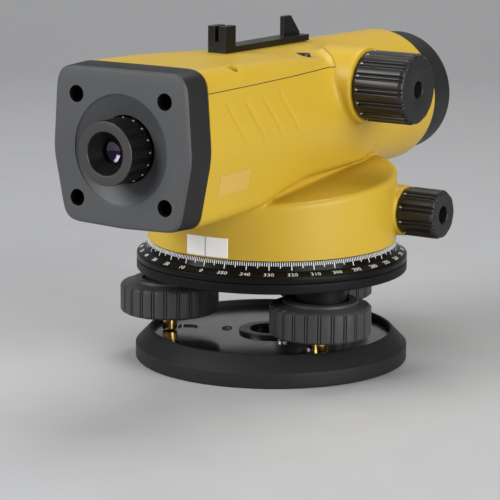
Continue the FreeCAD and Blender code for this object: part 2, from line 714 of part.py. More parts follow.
def casing_posts():
    """Posts for the eyepiece cover, top cover and base plate screws, and two blocks."""
    posts = []
    for side in SIDES:
        for level in LEVELS:
            posts.append(cyl(POST_RAD, 8.0, cap_screw_point(side, level, BODY_REAR + 1.5),
                             ALONG_Y))
        for x, y in COVER_SCREWS:
            posts.append(cyl(POST_RAD, 12.0, (side * x, y, dim.parting_z - 12.0)))
    for x, y in BASE_SCREW_CENTRES:
        posts.append(cyl(POST_RAD, 9.0, (x, y, CASING_PLATE_TOP)))
    for side in SIDES:
        posts.append(box(*sorted((side * 17.0, side * 29.0)), -6.5, -3.5,
                         dim.parting_z - 12.0, dim.parting_z))
    return posts


def casing_holes():
    """Screw holes, top cover counterbores and the shaft bores."""
    holes = []
    for side in SIDES:
        for level in LEVELS:
            holes.append(cyl(SCREW_HOLE, 9.0, cap_screw_point(side, level, BODY_REAR - 0.5),
                             ALONG_Y))
        for x, y in COVER_SCREWS:
            holes.append(cyl(SCREW_HOLE, 30.0, (side * x, y, dim.parting_z - 11.0)))
            holes.append(cyl(COVER_SCREW_RECESS, 10.0, (side * x, y, dim.gasket_top + 3.0)))
        holes.append(cyl(5.0, 30.0, (side * 30.0, TANGENT_Y, TANGENT_Z), (side, 0, 0)))
    for x, y in BASE_SCREW_CENTRES:
        holes.append(cyl(SCREW_HOLE, 8.0, (x, y, CASING_PLATE_TOP - 1.0)))
    holes.append(cyl(6.0, 40.0, (FOCUS_BOSS_START, dim.focus_y, dim.focus_z), ALONG_X))
    return Part.makeCompound(holes)


def casing_shell(outer):
    drum_cavity = cyl(dim.drum_rad - dim.wall - 0.5, 60.0, (0, 0, dim.drum_low - 1)).cut(
        above_shelf(-num(dim.wall) - 0.4))
    shell = outer.cut(inner_barrel(num(dim.wall)).fuse(drum_cavity))
    shell = shell.cut(cyl(17.0, 6.0, (0, BODY_REAR - 1.5, TUBE_Z), ALONG_Y))
    shell = shell.cut(cyl(dim.bore_rad, 40.0, (0, dim.bore_start - 0.5, TUBE_Z), ALONG_Y))
    for post in casing_posts():
        shell = shell.fuse(post.common(outer))
    shell = shell.cut(casing_holes())
    # shallow seat for the index window
    shell = shell.cut(window_band(dim.drum_rad + 1, 0.1))
    # shallow grip grooves on the right side, falling towards the front
    for y in GRIP_GROOVE_Y:
        shell = shell.cut(cyl(1.1, 19.4, (31.6, y, 112.4), (0, 12.0, -14.6)))
    return shell


def focus_boss_zone(clearance):
    return cyl(dim.focus_boss_rad + clearance, 30.0,
               (FOCUS_BOSS_START - 1.0, dim.focus_y, dim.focus_z), ALONG_X)


def cover_zone(low, high):
    return box(-60, 60, BODY_REAR - 1, dim.cover_front, low, high)


def split_casing(shell):
    """Housing, cover and gasket; the focus boss stays whole on the housing."""
    boss_clear = focus_boss_zone(0.15)
    cover = shell.common(cover_zone(dim.gasket_top, 160)).cut(boss_clear)
    gasket = shell.common(cover_zone(dim.parting_z, dim.gasket_top)).cut(boss_clear)
    housing = shell.cut(cover_zone(dim.parting_z, 160).cut(focus_boss_zone(0.0)))
    return biggest(housing), biggest(cover), biggest(gasket)


casing = casing_outer()
housing, top_cover, gasket = split_casing(casing_shell(casing))
feature("main_housing", housing)
feature("top_cover", top_cover)
feature("cover_gasket", gasket)
screw_group("top_cover_screws",
            [(side * x, y, dim.gasket_top + 5.4) for side in SIDES for x, y in COVER_SCREWS],
            axis=(0, 0, -1), head_rad=2.7, head_height=2.4, reach=9.0)

# -------------------------------------------------------------- eyepiece cover
# Outline of the cover: corners (x, z) and the radius at each.
CAP_CORNERS = [(-25.4, 67.3), (25.4, 67.3), (30.7, 94.5),
               (28.4, 126.0), (-28.4, 126.0), (-30.7, 94.5)]
CAP_RADII = [5.0, 5.0, 22.0, 6.0, 6.0, 22.0]
CAP_POINTS = outline_points(CAP_CORNERS, CAP_RADII, step=0.6)
CAP_END = num(dim.cap_front)        # outermost face, towards the eye


def cap_wire(grow, y):
    """Cover outline at y, moved away from the tube axis by grow."""
    points = []
    for x, z in CAP_POINTS:
        distance = math.hypot(x, z - TUBE_Z)
        scale = (distance + grow) / distance
        points.append(Vector(x * scale, y, TUBE_Z + (z - TUBE_Z) * scale))
    points.append(points[0])
    return Part.makePolygon(points)


def cap_loft(grow_a, y_a, grow_b, y_b):
    return Part.makeLoft([cap_wire(grow_a, y_a), cap_wire(grow_b, y_b)], True, True)


def eyepiece_cover():
    screw_spots = [(side, level) for side in SIDES for level in LEVELS]
    cap = cap_loft(0.0, CAP_END + 0.8, 0.75, BODY_REAR)
    cap = cap.fuse(cap_loft(-0.8, CAP_END, 0.0, CAP_END + 0.8))
    cap = cap.cut(cap_loft(-2.8, CAP_END + 3.0, -1.9, BODY_REAR + 1))
    cap = cap.fuse(cyl(16.5, BODY_REAR - CAP_END - 0.2, (0, CAP_END + 0.1, TUBE_Z), ALONG_Y))
    for side, level in screw_spots:
        cap = cap.fuse(cyl(4.6, 12.4, cap_screw_point(side, level, CAP_END + 0.1), ALONG_Y))
    # dished face round the eyepiece hole
    cap = cap.cut(Part.makeCone(num(dim.dish_rad), num(dim.cap_hole) + 0.2, 3.6,
                                Vector(0, CAP_END, TUBE_Z), Vector(*ALONG_Y)))
    cap = cap.cut(cyl(dim.cap_hole, 30.0, (0, CAP_END - 1, TUBE_Z), ALONG_Y))
    for side, level in screw_spots:
        point = cap_screw_point(side, level, CAP_END - 1)
        cap = cap.cut(cyl(dim.cap_screw_rad, 10.5, point, ALONG_Y))
        cap = cap.cut(cyl(1.6, 30.0, point, ALONG_Y))
    return biggest(cap.removeSplitter())


feature("eyepiece_cover", eyepiece_cover())
screw_group("eyepiece_cover_screws",
            [cap_screw_point(side, level, CAP_END + 7.0) for side in SIDES for level in LEVELS],
            axis=ALONG_Y, head_rad=2.8, head_height=2.5, reach=9.5)

# ------------------------------------- casing base plate, bearings and window
BEARING_RAD = 15.0
casing_plate_rad = dim.drum_rad - dim.wall - 0.6
casing_plate = revolve("casing_base_plate", [
    (BEARING_RAD + 0.03, CASING_PLATE_LOW), (casing_plate_rad, CASING_PLATE_LOW),
    (casing_plate_rad, CASING_PLATE_TOP), (BEARING_RAD + 0.03, CASING_PLATE_TOP)])
pocket(casing_plate, "base_screw_holes", circles(BASE_SCREW_CENTRES, 1.6),
       length=10.0, low=45.0)
pocket(casing_plate, "base_screw_recess", circles(BASE_SCREW_CENTRES, 2.8),
       length=5.5, low=45.0)
screw_group("casing_base_screws",
            [(x, y, CASING_PLATE_LOW + 0.1) for x, y in BASE_SCREW_CENTRES],
            axis=ALONG_Z, head_rad=2.6, head_height=1.4, reach=7.0)

revolve("axis_bearing", [
    (dim.axis_rad + dim.run_gap, dim.axis_flange_top + 0.1),
    (BEARING_RAD, dim.axis_flange_top + 0.1), (BEARING_RAD, CASING_PLATE_TOP),
    (18.0, CASING_PLATE_TOP), (18.0, 54.0), (13.0, 54.0), (13.0, dim.wheel_low - 0.1),
    (dim.axis_rad + dim.run_gap, dim.wheel_low - 0.1)])

feature("tangent_bushes", Part.makeCompound([
    cyl(5.0, 11.5, (side * 37.4, TANGENT_Y, TANGENT_Z), (side, 0, 0)).cut(
        cyl(dim.tangent_shaft_rad + dim.run_gap, 14.0,
            (side * 36.5, TANGENT_Y, TANGENT_Z), (side, 0, 0)))
    for side in SIDES]))
feature("index_window", window_band(dim.drum_rad + 0.15, 0.0))

# -------------------------------------------------------------- eyepiece group
EYE_TUBE_Y = -104.7
RETICLE_HOLE = 39.5         # distance of the reticle screw holes along the tube
RETICLE_CELL_Y = -70.0
EYE_LENS_RAD = 5.95


def cross_holes(tube):
    """Two holes through the tube, square to its axis and to each other."""
    for plane in ("XZ", "YZ"):
        before = volume(tube)
        sketch = new_sketch(tube, plane + "_Plane", "reticle_hole_" + plane)
        circle(sketch, 0.0, RETICLE_HOLE, 1.02)
        hole = tube.newObject("PartDesign::Pocket", "reticle_holes_" + plane)
        hole.Profile = (sketch, [""])
        hole.Midplane = True
        hole.Length = 40.0
        tube.Tip = hole
        if not volume(tube) < before - 1.0:
            raise RuntimeError("reticle holes cut nothing")


def lens(radius, y, thick, rear_curve, front_curve):
    """Glass disc from y forward with two spherical faces; a negative curve is hollow."""
    def sphere(curve, centre_y):
        return Part.makeSphere(curve, Vector(0, centre_y, TUBE_Z))

    glass = cyl(radius, thick, (0, y, TUBE_Z), ALONG_Y)
    for curve, side, edge in ((rear_curve, -1, y), (front_curve, 1, y + thick)):
        if curve > 0:
            glass = glass.common(sphere(curve, edge - side * curve))
        else:
            sag = -curve - math.sqrt(curve * curve - radius * radius)
            glass = glass.cut(sphere(-curve, edge - side * sag - side * curve))
    return glass


def reticle_screw(degrees):
    x, z = polar_xy(1.0, degrees)
    outward = Vector(x, 0, z)
    start = Vector(0, EYE_TUBE_Y + RETICLE_HOLE, TUBE_Z) + outward * num(dim.eye_tube_bore)
    return Part.makeCylinder(1.0, 3.9, start, outward)


cross_holes(revolve("eyepiece_tube", [
    (dim.eye_tube_bore, 0), (dim.eye_tube_rad, 0), (dim.eye_tube_rad, 15.2), (16.9, 15.2),
    (16.9, 19.0), (dim.eye_tube_rad, 19.0), (dim.eye_tube_rad, 36.0), (11.0, 36.0),
    (11.0, 43.0), (dim.eye_tube_bore, 43.0)], 0.0, EYE_TUBE_Y, dim.tube_z, TURN_FORWARD))
revolve("eyepiece_cell", [
    (4.4, 0), (dim.eye_cell_rad, 0), (dim.eye_cell_rad, 24.0), (6.0, 24.0), (6.0, 1.4),
    (4.4, 1.4)], 0.0, -105.6, dim.tube_z, TURN_FORWARD)
feature("eyepiece_lenses", Part.makeCompound([
    lens(EYE_LENS_RAD, y=-104.1, thick=3.2, rear_curve=22.0, front_curve=16.0),
    lens(EYE_LENS_RAD, y=-99.0, thick=4.0, rear_curve=18.0, front_curve=14.0),
    lens(EYE_LENS_RAD, y=-88.0, thick=3.0, rear_curve=30.0, front_curve=24.0)]))

dioptre = revolve("dioptre_ring", [
    (dim.eye_tube_rad + dim.run_gap, 0), (dim.dioptre_rad - 0.4, 0), (dim.dioptre_rad, 0.4),
    (dim.dioptre_rad, 11.9), (dim.dioptre_rad - 1.0, 12.9), (8.2, 12.9), (7.8, 12.6),
    (3.8, 8.9), (3.8, 7.7), (dim.eye_tube_rad + dim.run_gap, 7.7)],
    0.0, dim.dioptre_rear, dim.tube_z, TURN_BACK)
groove_pairs(dioptre, "dioptre_flute", "dioptre_flute_all", dim.dioptre_rad + 0.1,
             groove_rad=0.45, half_angle=3.2, length=11.5, count=16)

revolve("reticle_cell", [
    (6.0, 0), (7.55, 0), (7.55, 6.0), (6.9, 6.0), (6.9, 2.0), (6.0, 2.0)],
    0.0, RETICLE_CELL_Y, dim.tube_z, TURN_FORWARD)
feature("reticle_glass", cyl(6.88, 2.0, (0, RETICLE_CELL_Y + 2.0, TUBE_Z), ALONG_Y))
feature("reticle_screws", Part.makeCompound([reticle_screw(90 * k) for k in range(4)]))

# ------------------------------------------------------------- objective group
BORE_FIT = dim.bore_rad - 0.05
HOOD_BORE = dim.bore_rad - 2.2
RING_BORE = 15.4            # bore of the cell lip and the retainer
CROWN_Y = 67.2
CROWN_CURVE = 40.0

revolve("objective_hood", [
    (HOOD_BORE, -9.0), (BORE_FIT, -9.0), (BORE_FIT, 0), (dim.hood_rad - 0.3, 0),
    (dim.hood_rad, 0.4), (dim.hood_rad, 17.0), (dim.hood_rad - 1.6, 19.5), (22.2, 19.5),
    (20.6, 18.2), (HOOD_BORE, 4.0)], 0.0, dim.body_front + 0.05, dim.tube_z, TURN_FORWARD)
revolve("objective_cell", [
    (RING_BORE, 0), (BORE_FIT, 0), (BORE_FIT, 11.0), (dim.lens_rad + 0.05, 11.0),
    (dim.lens_rad + 0.05, 1.6), (RING_BORE, 1.6)], 0.0, 62.5, dim.tube_z, TURN_FORWARD)
revolve("objective_retainer", [
    (RING_BORE, 0), (dim.lens_rad, 0), (dim.lens_rad, 2.0), (RING_BORE, 2.0)],
    0.0, 71.3, dim.tube_z, TURN_FORWARD)


def flint_lens():
    """Rear glass, hollowed in front to the rear curve of the crown."""
    flint = cyl(dim.lens_rad, 3.0, (0, 64.15, TUBE_Z), ALONG_Y).fuse(
        cyl(dim.lens_rad, 1.2, (0, 67.14, TUBE_Z), ALONG_Y))
    flint = flint.cut(Part.makeSphere(CROWN_CURVE, Vector(0, CROWN_Y + CROWN_CURVE, TUBE_Z)))
    return biggest(flint.cut(cyl(17.2, 3.0, (0, 68.25, TUBE_Z), ALONG_Y)))


feature("objective_lens", Part.makeCompound([
    lens(num(dim.lens_rad), y=CROWN_Y, thick=4.0, rear_curve=CROWN_CURVE, front_curve=60.0),
    flint_lens()]))

# -------------------------------------------------------------- focusing group
RACK_X = 6.0
RACK_WIDTH = 3.8
RACK_LOW = 104.6
RACK_JOINT_Y = 40.0
RACK_TIP = 0.7              # tooth height above the pitch line, in modules
SLIDER_Y = 36.0
PINION_WIDTH = 3.6
FOCUS_SHAFT_RAD = 2.5
pinion_module = num(dim.pinion_module)
rack_line = num(dim.focus_z) - pinion_module * num(dim.pinion_teeth) / 2.0
rack_root = rack_line - pinion_module

focus_tube = revolve("focus_tube", [
    (dim.slider_rad + dim.run_gap, 0), (15.4, 0), (15.4, 33.0), (BORE_FIT, 33.0),
    (BORE_FIT, 38.0), (dim.slider_rad + dim.run_gap, 38.0)],
    0.0, 22.0, dim.tube_z, TURN_FORWARD)
# Local -Y is up on this tube, so the slot is in its upper right side.
pocket(focus_tube, "rack_slot",
       lambda sketch: polygon(sketch, [(5.3, -8.0), (10.9, -8.0), (10.9, -20.0), (5.3, -20.0)]),
       length=33.2, low=-0.1)


def rack_outline():
    """Rack in (y, z): teeth upward, listed from front to rear."""
    mid = num(dim.focus_y)
    pitch = math.pi * pinion_module
    half = pitch * 0.25 - 0.16
    root_half = half + pinion_module * TAN_PRESSURE
    tip_half = half - RACK_TIP * pinion_module * TAN_PRESSURE
    tip = rack_line + RACK_TIP * pinion_module
    points = [(RACK_JOINT_Y, RACK_LOW), (RACK_JOINT_Y, rack_root),
              (mid + pitch * 6.5 + 0.3, rack_root)]
    for tooth in range(12):
        centre = mid + pitch * (6 - tooth)
        points += [(centre + root_half, rack_root), (centre + tip_half, tip),
                   (centre - tip_half, tip), (centre - root_half, rack_root)]
    rear = mid - pitch * 5.5 - 0.3
    return points + [(rear, rack_root), (rear, RACK_LOW)]


def focus_slider():
    slider = cyl(dim.slider_rad, 13.0, (0, SLIDER_Y, TUBE_Z), ALONG_Y).cut(
        cyl(11.2, 20.0, (0, SLIDER_Y - 1.0, TUBE_Z), ALONG_Y))
    rack = side_profile(RACK_X, RACK_WIDTH, rack_outline())
    rack = rack.fuse(box(RACK_X, RACK_X + RACK_WIDTH, SLIDER_Y, 44.0, RACK_LOW, rack_root))
    rack = rack.cut(cyl(dim.slider_rad - 0.5, 20.0, (0, 30.0, TUBE_Z), ALONG_Y))
    return slider.fuse(rack).removeSplitter()


def focus_shaft():
    """Pinion and shaft about local Z, turned half a tooth pitch to mesh with the rack."""
    pinion = gear_solid(pinion_module, num(dim.pinion_teeth), 0.0, PINION_WIDTH, thin=0.03,
                        turn=180.0 / num(dim.pinion_teeth))
    return pinion.fuse(cyl(FOCUS_SHAFT_RAD, 40.2, (0, 0, PINION_WIDTH))).removeSplitter()


feature("focus_slider", focus_slider())
feature("focus_lens", lens(11.15, y=40.0, thick=3.6, rear_curve=-30.0, front_curve=-45.0))
feature("focus_shaft", focus_shaft(), 6.4, dim.focus_y, dim.focus_z, TURN_RIGHT)
feature("focus_bush", cyl(6.0, 12.0, (21.0, dim.focus_y, dim.focus_z), ALONG_X).cut(
    cyl(FOCUS_SHAFT_RAD + dim.run_gap, 20.0, (18.0, dim.focus_y, dim.focus_z), ALONG_X)))

focus_knob = revolve("focus_knob", [
    (FOCUS_SHAFT_RAD, 0), (dim.focus_knob_rad - 0.8, 0), (dim.focus_knob_rad, 0.8),
    (dim.focus_knob_rad, dim.focus_knob_len - 1.2),
    (dim.focus_knob_rad - 1.4, dim.focus_knob_len), (3.4, dim.focus_knob_len),
    (3.4, 16.3), (FOCUS_SHAFT_RAD, 16.3)],
    dim.focus_knob_in, dim.focus_y, dim.focus_z, TURN_RIGHT)
groove_pairs(focus_knob, "focus_flute", "focus_flute_all", dim.focus_knob_rad + 0.1,
             groove_rad=0.6, half_angle=3.4, length=26.0, count=16)


# ----------------------------------------------------------------- compensator
# Block rows hold x0, x1, y0, y1, z0, z1.
def compensator_frame():
    """Floor trimmed to the barrel's inside, two uprights and a top bar."""
    frame = box(-24.0, 24.0, -52.0, -2.0, 77.0, 79.0).common(
        inner_barrel(num(dim.wall) + 0.03))
    for limits in ((-18.0, -14.5, -34.0, -14.0, 77.0, 116.0),
                   (14.5, 18.0, -34.0, -14.0, 77.0, 116.0),
                   (-18.0, 18.0, -27.0, -21.0, 112.5, 116.0)):
        frame = frame.fuse(box(*limits))
    return frame.cut(cyl(14.2, 4.0, (0, 0, 76.0))).removeSplitter()


def suspension_wire(x, low_y, high_y):
    low, high = Vector(x, low_y, 106.03), Vector(x, high_y, 112.4)
    return Part.makeCylinder(0.15, (high - low).Length, low, high - low)


feature("compensator_frame", compensator_frame())
feature("compensator_pendulum", blocks([
    (-11.5, 11.5, -33.0, -15.0, 84.0, 87.0),
    (-11.5, -9.5, -33.0, -15.0, 84.0, 106.0),
    (9.5, 11.5, -33.0, -15.0, 84.0, 106.0),
    (-4.0, 4.0, -26.0, -22.0, 81.6, 84.5)]).removeSplitter())
feature("compensator_prism", side_profile(-9.4, 18.8, [
    (-32.5, 87.02), (-15.5, 87.02), (-19.5, 104.0), (-28.5, 104.0)]))
feature("suspension_wires", Part.makeCompound([
    suspension_wire(side * 10.5, low_y, high_y)
    for side in SIDES for low_y, high_y in ((-31.0, -26.4), (-17.0, -21.6))]))
feature("damping_magnets", Part.makeCompound([
    box(-5.0, 5.0, -32.0, -27.0, 79.0, 83.0), box(-5.0, 5.0, -21.0, -16.0, 79.0, 83.0)]))

# -------------------------------------------------------------- circular level
revolve("level_vial_cup", [
    (0, 0), (dim.vial_rad, 0), (dim.vial_rad, 8.0), (dim.vial_rad - 0.5, 8.4), (7.0, 8.4),
    (7.0, 2.0), (0, 2.0)], dim.vial_x, dim.vial_y, dim.vial_low)
revolve("level_vial_glass", [
    (0, 2.0), (6.9, 2.0), (6.9, 8.0), (5.5, 8.7), (3.0, 9.1), (0, 9.2)],
    dim.vial_x, dim.vial_y, dim.vial_low)

# Two cheeks and a roof, trimmed where they meet the casing.
mirror_bracket = blocks([
    (-47.0, -29.6, -10.5, -8.5, 91.5, 104.0),
    (-47.0, -29.6, 4.5, 6.5, 91.5, 104.0),
    (-47.0, -29.6, -10.5, 6.5, 103.0, 105.0)]).cut(casing)
feature("level_mirror_bracket", biggest(mirror_bracket.removeSplitter()))
feature("level_mirror", side_profile(-46.5, 14.0, [
    (-8.4, 102.9), (3.6, 90.9), (4.4, 91.7), (-6.8, 102.9)]))


# ------------------------------------------------------------------- gun sight
def peep_sight():
    """Bar with a notched rear post and a front blade, fitted to the top cover."""
    sight = blocks([(-4.0, 4.0, -40.0, 20.0, 125.6, 128.0),
                    (-4.0, 4.0, -40.0, -33.0, 128.0, 136.0)])
    sight = sight.cut(box(-0.9, 0.9, -41.0, -30.0, 130.0, 138.0))
    blade = side_profile(-0.8, 1.6, [
        (6.0, 128.0), (18.0, 128.0), (18.0, 129.0), (11.5, 136.0), (6.0, 136.0)])
    return biggest(sight.fuse(blade).cut(top_cover).removeSplitter())


feature("peep_sight", peep_sight())

# ------------------------------------------------------------- state and export
doc.recompute()
problems = []
for obj in doc.Objects:
    state = [word for word in obj.State if word in ("Invalid", "Error")]
    if state:
        problems.append("%s %s" % (obj.Label, state))
for label, obj in NODES:
    if obj.Shape.isNull() or not obj.Shape.isValid() or not obj.Shape.Solids:
        problems.append("%s shape" % label)
if problems:
    raise RuntimeError("; ".join(problems))
if len({label for label, _ in NODES}) != len(NODES):
    raise RuntimeError("a node name is used twice")

os.makedirs("parts", exist_ok=True)
for label, obj in NODES:
    obj.Shape.exportStep("parts/%s.step" % label)
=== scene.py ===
"""Automatic level: yellow sighting tube and casing on a three-foot levelling base.

Shapes are in millimetres, turned to metres as meshes are made. The vertical axis is +Z and
the underside of the base is at z = 0. The sight line runs along Y at height TUBE_Z, with the
eyepiece at -Y and the objective at +Y. Right is +X. The CAD pieces call the foot at +Y "rear".
"""
import json
import math

import bmesh
import bpy
import numpy as np
from mathutils import Matrix, Vector


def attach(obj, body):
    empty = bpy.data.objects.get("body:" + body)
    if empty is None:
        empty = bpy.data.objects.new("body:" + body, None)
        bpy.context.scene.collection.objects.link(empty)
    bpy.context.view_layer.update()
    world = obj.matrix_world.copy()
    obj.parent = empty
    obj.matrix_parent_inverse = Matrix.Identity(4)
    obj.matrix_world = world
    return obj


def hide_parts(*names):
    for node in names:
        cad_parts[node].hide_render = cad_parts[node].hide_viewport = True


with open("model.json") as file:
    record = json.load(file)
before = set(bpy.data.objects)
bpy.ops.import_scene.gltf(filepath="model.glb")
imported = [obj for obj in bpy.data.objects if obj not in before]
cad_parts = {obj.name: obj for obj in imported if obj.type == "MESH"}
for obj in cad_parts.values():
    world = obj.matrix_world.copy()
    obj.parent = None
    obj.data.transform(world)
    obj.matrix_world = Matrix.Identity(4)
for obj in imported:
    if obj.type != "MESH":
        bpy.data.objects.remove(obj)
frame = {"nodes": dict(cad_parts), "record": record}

MM = 0.001
TURN = 2 * math.pi
scene = bpy.context.scene
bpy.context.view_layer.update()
NODES = frame["nodes"]

# Shared places, mm
TUBE_Z = 96.6                          # sight line height
FOCUS_Y, FOCUS_Z = 17.0, 110.0         # focusing knob axis, along X
FOCUS_BOSS_R = 15.1
TANGENT_Y, TANGENT_Z = 22.9, 60.7      # tangent screw axis, along X
VIAL_X, VIAL_Y, VIAL_Z = -38.5, -5.0, 76.6
THIRDS = (0, 120, 240)                 # degrees
FOOT_SIDES = ("left", "right", "rear")
FOOT_ANGLES = [math.radians(-150 + turn) for turn in THIRDS]
FEET = [(41.0 * math.cos(a), 41.0 * math.sin(a)) for a in FOOT_ANGLES]
END_SCREW_X, END_SCREW_DZ = 19.5, 19.1   # eyepiece cover screws, from the sight line
COVER_POSTS = [(24.5, -68.0), (17.0, -5.0)]   # top cover screws (|x|, y)
RIM_R = 54.0                           # tribrach and graduated circle


# ------------------------------------------------------------------ materials
def feed(tree, node, inputs):
    """Link each input to a socket, or give it a plain value."""
    for name, value in inputs.items():
        if isinstance(value, bpy.types.NodeSocket):
            tree.links.new(value, node.inputs[name])
        else:
            node.inputs[name].default_value = value


def add_node(tree, kind, inputs=None, **settings):
    node = tree.nodes.new("ShaderNode" + kind)
    for name, value in settings.items():
        setattr(node, name, value)
    feed(tree, node, inputs or {})
    return node


def color_mix(tree, factor, a, b):
    inputs = {"Factor": factor, "A": a, "B": b}
    return add_node(tree, "Mix", inputs, data_type="RGBA").outputs["Result"]


def new_material(name):
    material = bpy.data.materials.new(name)
    material.use_nodes = True
    tree = material.node_tree
    tree.nodes.clear()
    out = add_node(tree, "OutputMaterial")
    bsdf = add_node(tree, "BsdfPrincipled")
    tree.links.new(bsdf.outputs[0], out.inputs["Surface"])
    coords = add_node(tree, "TexCoord").outputs["Object"]
    return material, tree, bsdf, coords


def worn_edges(tree, coords, color, wear, amount):
    """Mix the wear colour in, in patches, where a wide bevel bends the normal."""
    geometry = add_node(tree, "NewGeometry")
    wide = add_node(tree, "Bevel", {"Radius": 0.45 * MM}, samples=4)
    dot = add_node(tree, "VectorMath", {0: wide.outputs[0], 1: geometry.outputs["Normal"]},
                   operation="DOT_PRODUCT")
    edge = add_node(tree, "MapRange", {
        "From Min": 0.985, "From Max": 0.80, "To Min": 0.0, "To Max": amount,
        "Value": dot.outputs["Value"]})
    patch = add_node(tree, "TexNoise", {"Scale": 420.0, "Vector": coords})
    factor = add_node(tree, "Math", {0: edge.outputs[0], 1: patch.outputs["Fac"]},
                      operation="MULTIPLY")
    return color_mix(tree, factor.outputs[0], color, (*wear, 1))


def surface(name, color, rough=0.5, metallic=0.0, grain=2500.0, bump=0.25, depth=0.02,
            rough_var=0.08, wear=None, wear_amount=0.4, bevel=0.15, coat=0.0,
            coat_rough=0.2, blotch=0.06, specular=0.5, brushed=None):
    """Opaque finish with a fine grain, uneven roughness, colour drift and worn edges.

    grain is the noise scale, bump its strength and depth its height in mm. rough_var and
    blotch are the swing of roughness and colour, bevel the shaded edge radius in mm, and
    brushed stretches the grain along the axes.
    """
    material, tree, bsdf, coords = new_material(name)
    grain_coords = coords
    if brushed:
        mapping = add_node(tree, "Mapping", {"Scale": brushed, "Vector": coords})
        grain_coords = mapping.outputs[0]
    fine = add_node(tree, "TexNoise", {"Scale": grain, "Detail": 3.0, "Vector": grain_coords})
    broad = add_node(tree, "TexNoise", {"Scale": 55.0, "Detail": 4.0, "Vector": coords})
    drift = broad.outputs["Fac"]
    edge = add_node(tree, "Bevel", {"Radius": bevel * MM}, samples=4)
    relief = add_node(tree, "Bump", {
        "Strength": bump, "Distance": depth * MM,
        "Height": fine.outputs["Fac"], "Normal": edge.outputs[0]})
    roughness = add_node(tree, "MapRange", {
        "From Min": 0.3, "From Max": 0.7, "To Min": max(0.02, rough - rough_var),
        "To Max": min(1.0, rough + rough_var), "Value": drift})
    result = color_mix(tree, drift, (*[c * (1 - blotch) for c in color], 1),
                       (*[min(1.0, c * (1 + blotch)) for c in color], 1))
    if wear is not None:
        result = worn_edges(tree, coords, result, wear, wear_amount)
    feed(tree, bsdf, {
        "Normal": relief.outputs[0], "Roughness": roughness.outputs[0], "Base Color": result,
        "Metallic": metallic, "Coat Weight": coat, "Coat Roughness": coat_rough,
        "Specular IOR Level": specular})
    return material


def glass(name, color, rough, alpha, coat_reflection_tint, specular_tint=None):
    """See-through finish whose colour turns to the coat tint at grazing angles, a painted
    reflection of the coating; the same tint colours the real specular reflection unless
    specular_tint is given.
    """
    material, tree, bsdf, coords = new_material(name)
    noise = add_node(tree, "TexNoise", {"Scale": 300.0, "Vector": coords})
    roughness = add_node(tree, "MapRange", {
        "To Min": rough, "To Max": rough + 0.03, "Value": noise.outputs["Fac"]})
    facing = add_node(tree, "LayerWeight").outputs["Facing"]
    feed(tree, bsdf, {
        "Roughness": roughness.outputs[0],
        "Base Color": color_mix(tree, facing, (*color, 1), (*coat_reflection_tint, 1)),
        "Alpha": alpha, "IOR": 1.6, "Specular IOR Level": 0.9,
        "Specular Tint": (*(specular_tint or coat_reflection_tint), 1)})
    return material


# Settings shared by families of finishes
MOULDED = dict(bevel=0.12, blotch=0.15)
SATIN = dict(grain=2200.0, bump=0.3, rough_var=0.05)
CAST = dict(grain=1500.0, bevel=0.25, blotch=0.15, wear_amount=0.5)
MARKING = dict(grain=3000.0, bump=0.1, depth=0.005, bevel=0.02)

YELLOW = surface("yellow_enamel", (0.560, 0.366, 0.029), specular=0.36, rough=0.42,
                 grain=1900.0, bump=0.10, rough_var=0.04, wear=(0.72, 0.52, 0.11),
                 wear_amount=0.3, bevel=0.3, coat_rough=0.3, blotch=0.03)
BLACK = surface("black_moulded", (0.0045, 0.0042, 0.0040), specular=0.28, rough=0.30,
                grain=2600.0, bump=0.35, rough_var=0.07, wear=(0.10, 0.095, 0.09),
                wear_amount=0.8, **MOULDED)
KNOB = surface("knob_moulded", (0.0125, 0.0112, 0.0105), specular=0.42, rough=0.36,
               grain=2400.0, bump=0.4, wear=(0.10, 0.095, 0.09), wear_amount=0.7, **MOULDED)
FOOT = surface("foot_knob_moulded", (0.042, 0.0425, 0.0435), specular=0.32, rough=0.45,
               grain=2400.0, bump=0.4, wear=(0.14, 0.14, 0.14), wear_amount=0.8, **MOULDED)
DIAL = surface("dial_moulded", (0.0045, 0.0043, 0.0042), specular=0.13, rough=0.30,
               grain=2600.0, bump=0.3, rough_var=0.07, wear=(0.08, 0.078, 0.075),
               wear_amount=0.7, **MOULDED)
GREY = surface("grey_moulded", (0.058, 0.059, 0.062), rough=0.55,
               wear=(0.26, 0.26, 0.265), wear_amount=0.6, bevel=0.2, blotch=0.05, **SATIN)
# Darker copy of the grey for the eyepiece cover's sides: painted shade on the sides, so the
# face's lighter grey stands as painted sheen.
GREY_SHADED_SIDE = surface("grey_moulded_shaded_side", (0.013, 0.0133, 0.0138), specular=0.3,
                    wear=(0.15, 0.15, 0.155), bevel=0.2, blotch=0.05, **SATIN)
HOOD = surface("hood_moulded", (0.014, 0.0143, 0.015), specular=0.32,
               wear=(0.16, 0.16, 0.165), bevel=0.3, **SATIN)
CASTING = surface("black_casting", (0.0130, 0.0132, 0.0140), specular=0.22, bump=0.55,
                  depth=0.04, wear=(0.11, 0.11, 0.115), **CAST)
RIM = surface("black_rim_casting", (0.0060, 0.0061, 0.0066), specular=0.12, rough=0.46,
              bump=0.5, depth=0.035, wear=(0.09, 0.09, 0.095), **CAST)
ANODISED = surface("black_anodised", (0.012, 0.012, 0.0125), rough=0.30, metallic=0.35,
                   grain=3000.0, bump=0.15, depth=0.01, rough_var=0.06,
                   wear=(0.2, 0.2, 0.2), bevel=0.1)
PLATE = surface("polished_plate", (0.245, 0.236, 0.228), rough=0.17, metallic=1.0,
                grain=700.0, bump=0.10, depth=0.01, rough_var=0.05, brushed=(0.15, 9.0, 1.0),
                wear=(0.7, 0.7, 0.7), wear_amount=0.3, bevel=0.1)
STEEL = surface("turned_steel", (0.55, 0.55, 0.56), rough=0.25, metallic=1.0, grain=1200.0,
                bump=0.1, depth=0.01, wear=(0.8, 0.8, 0.8), wear_amount=0.3, bevel=0.08)
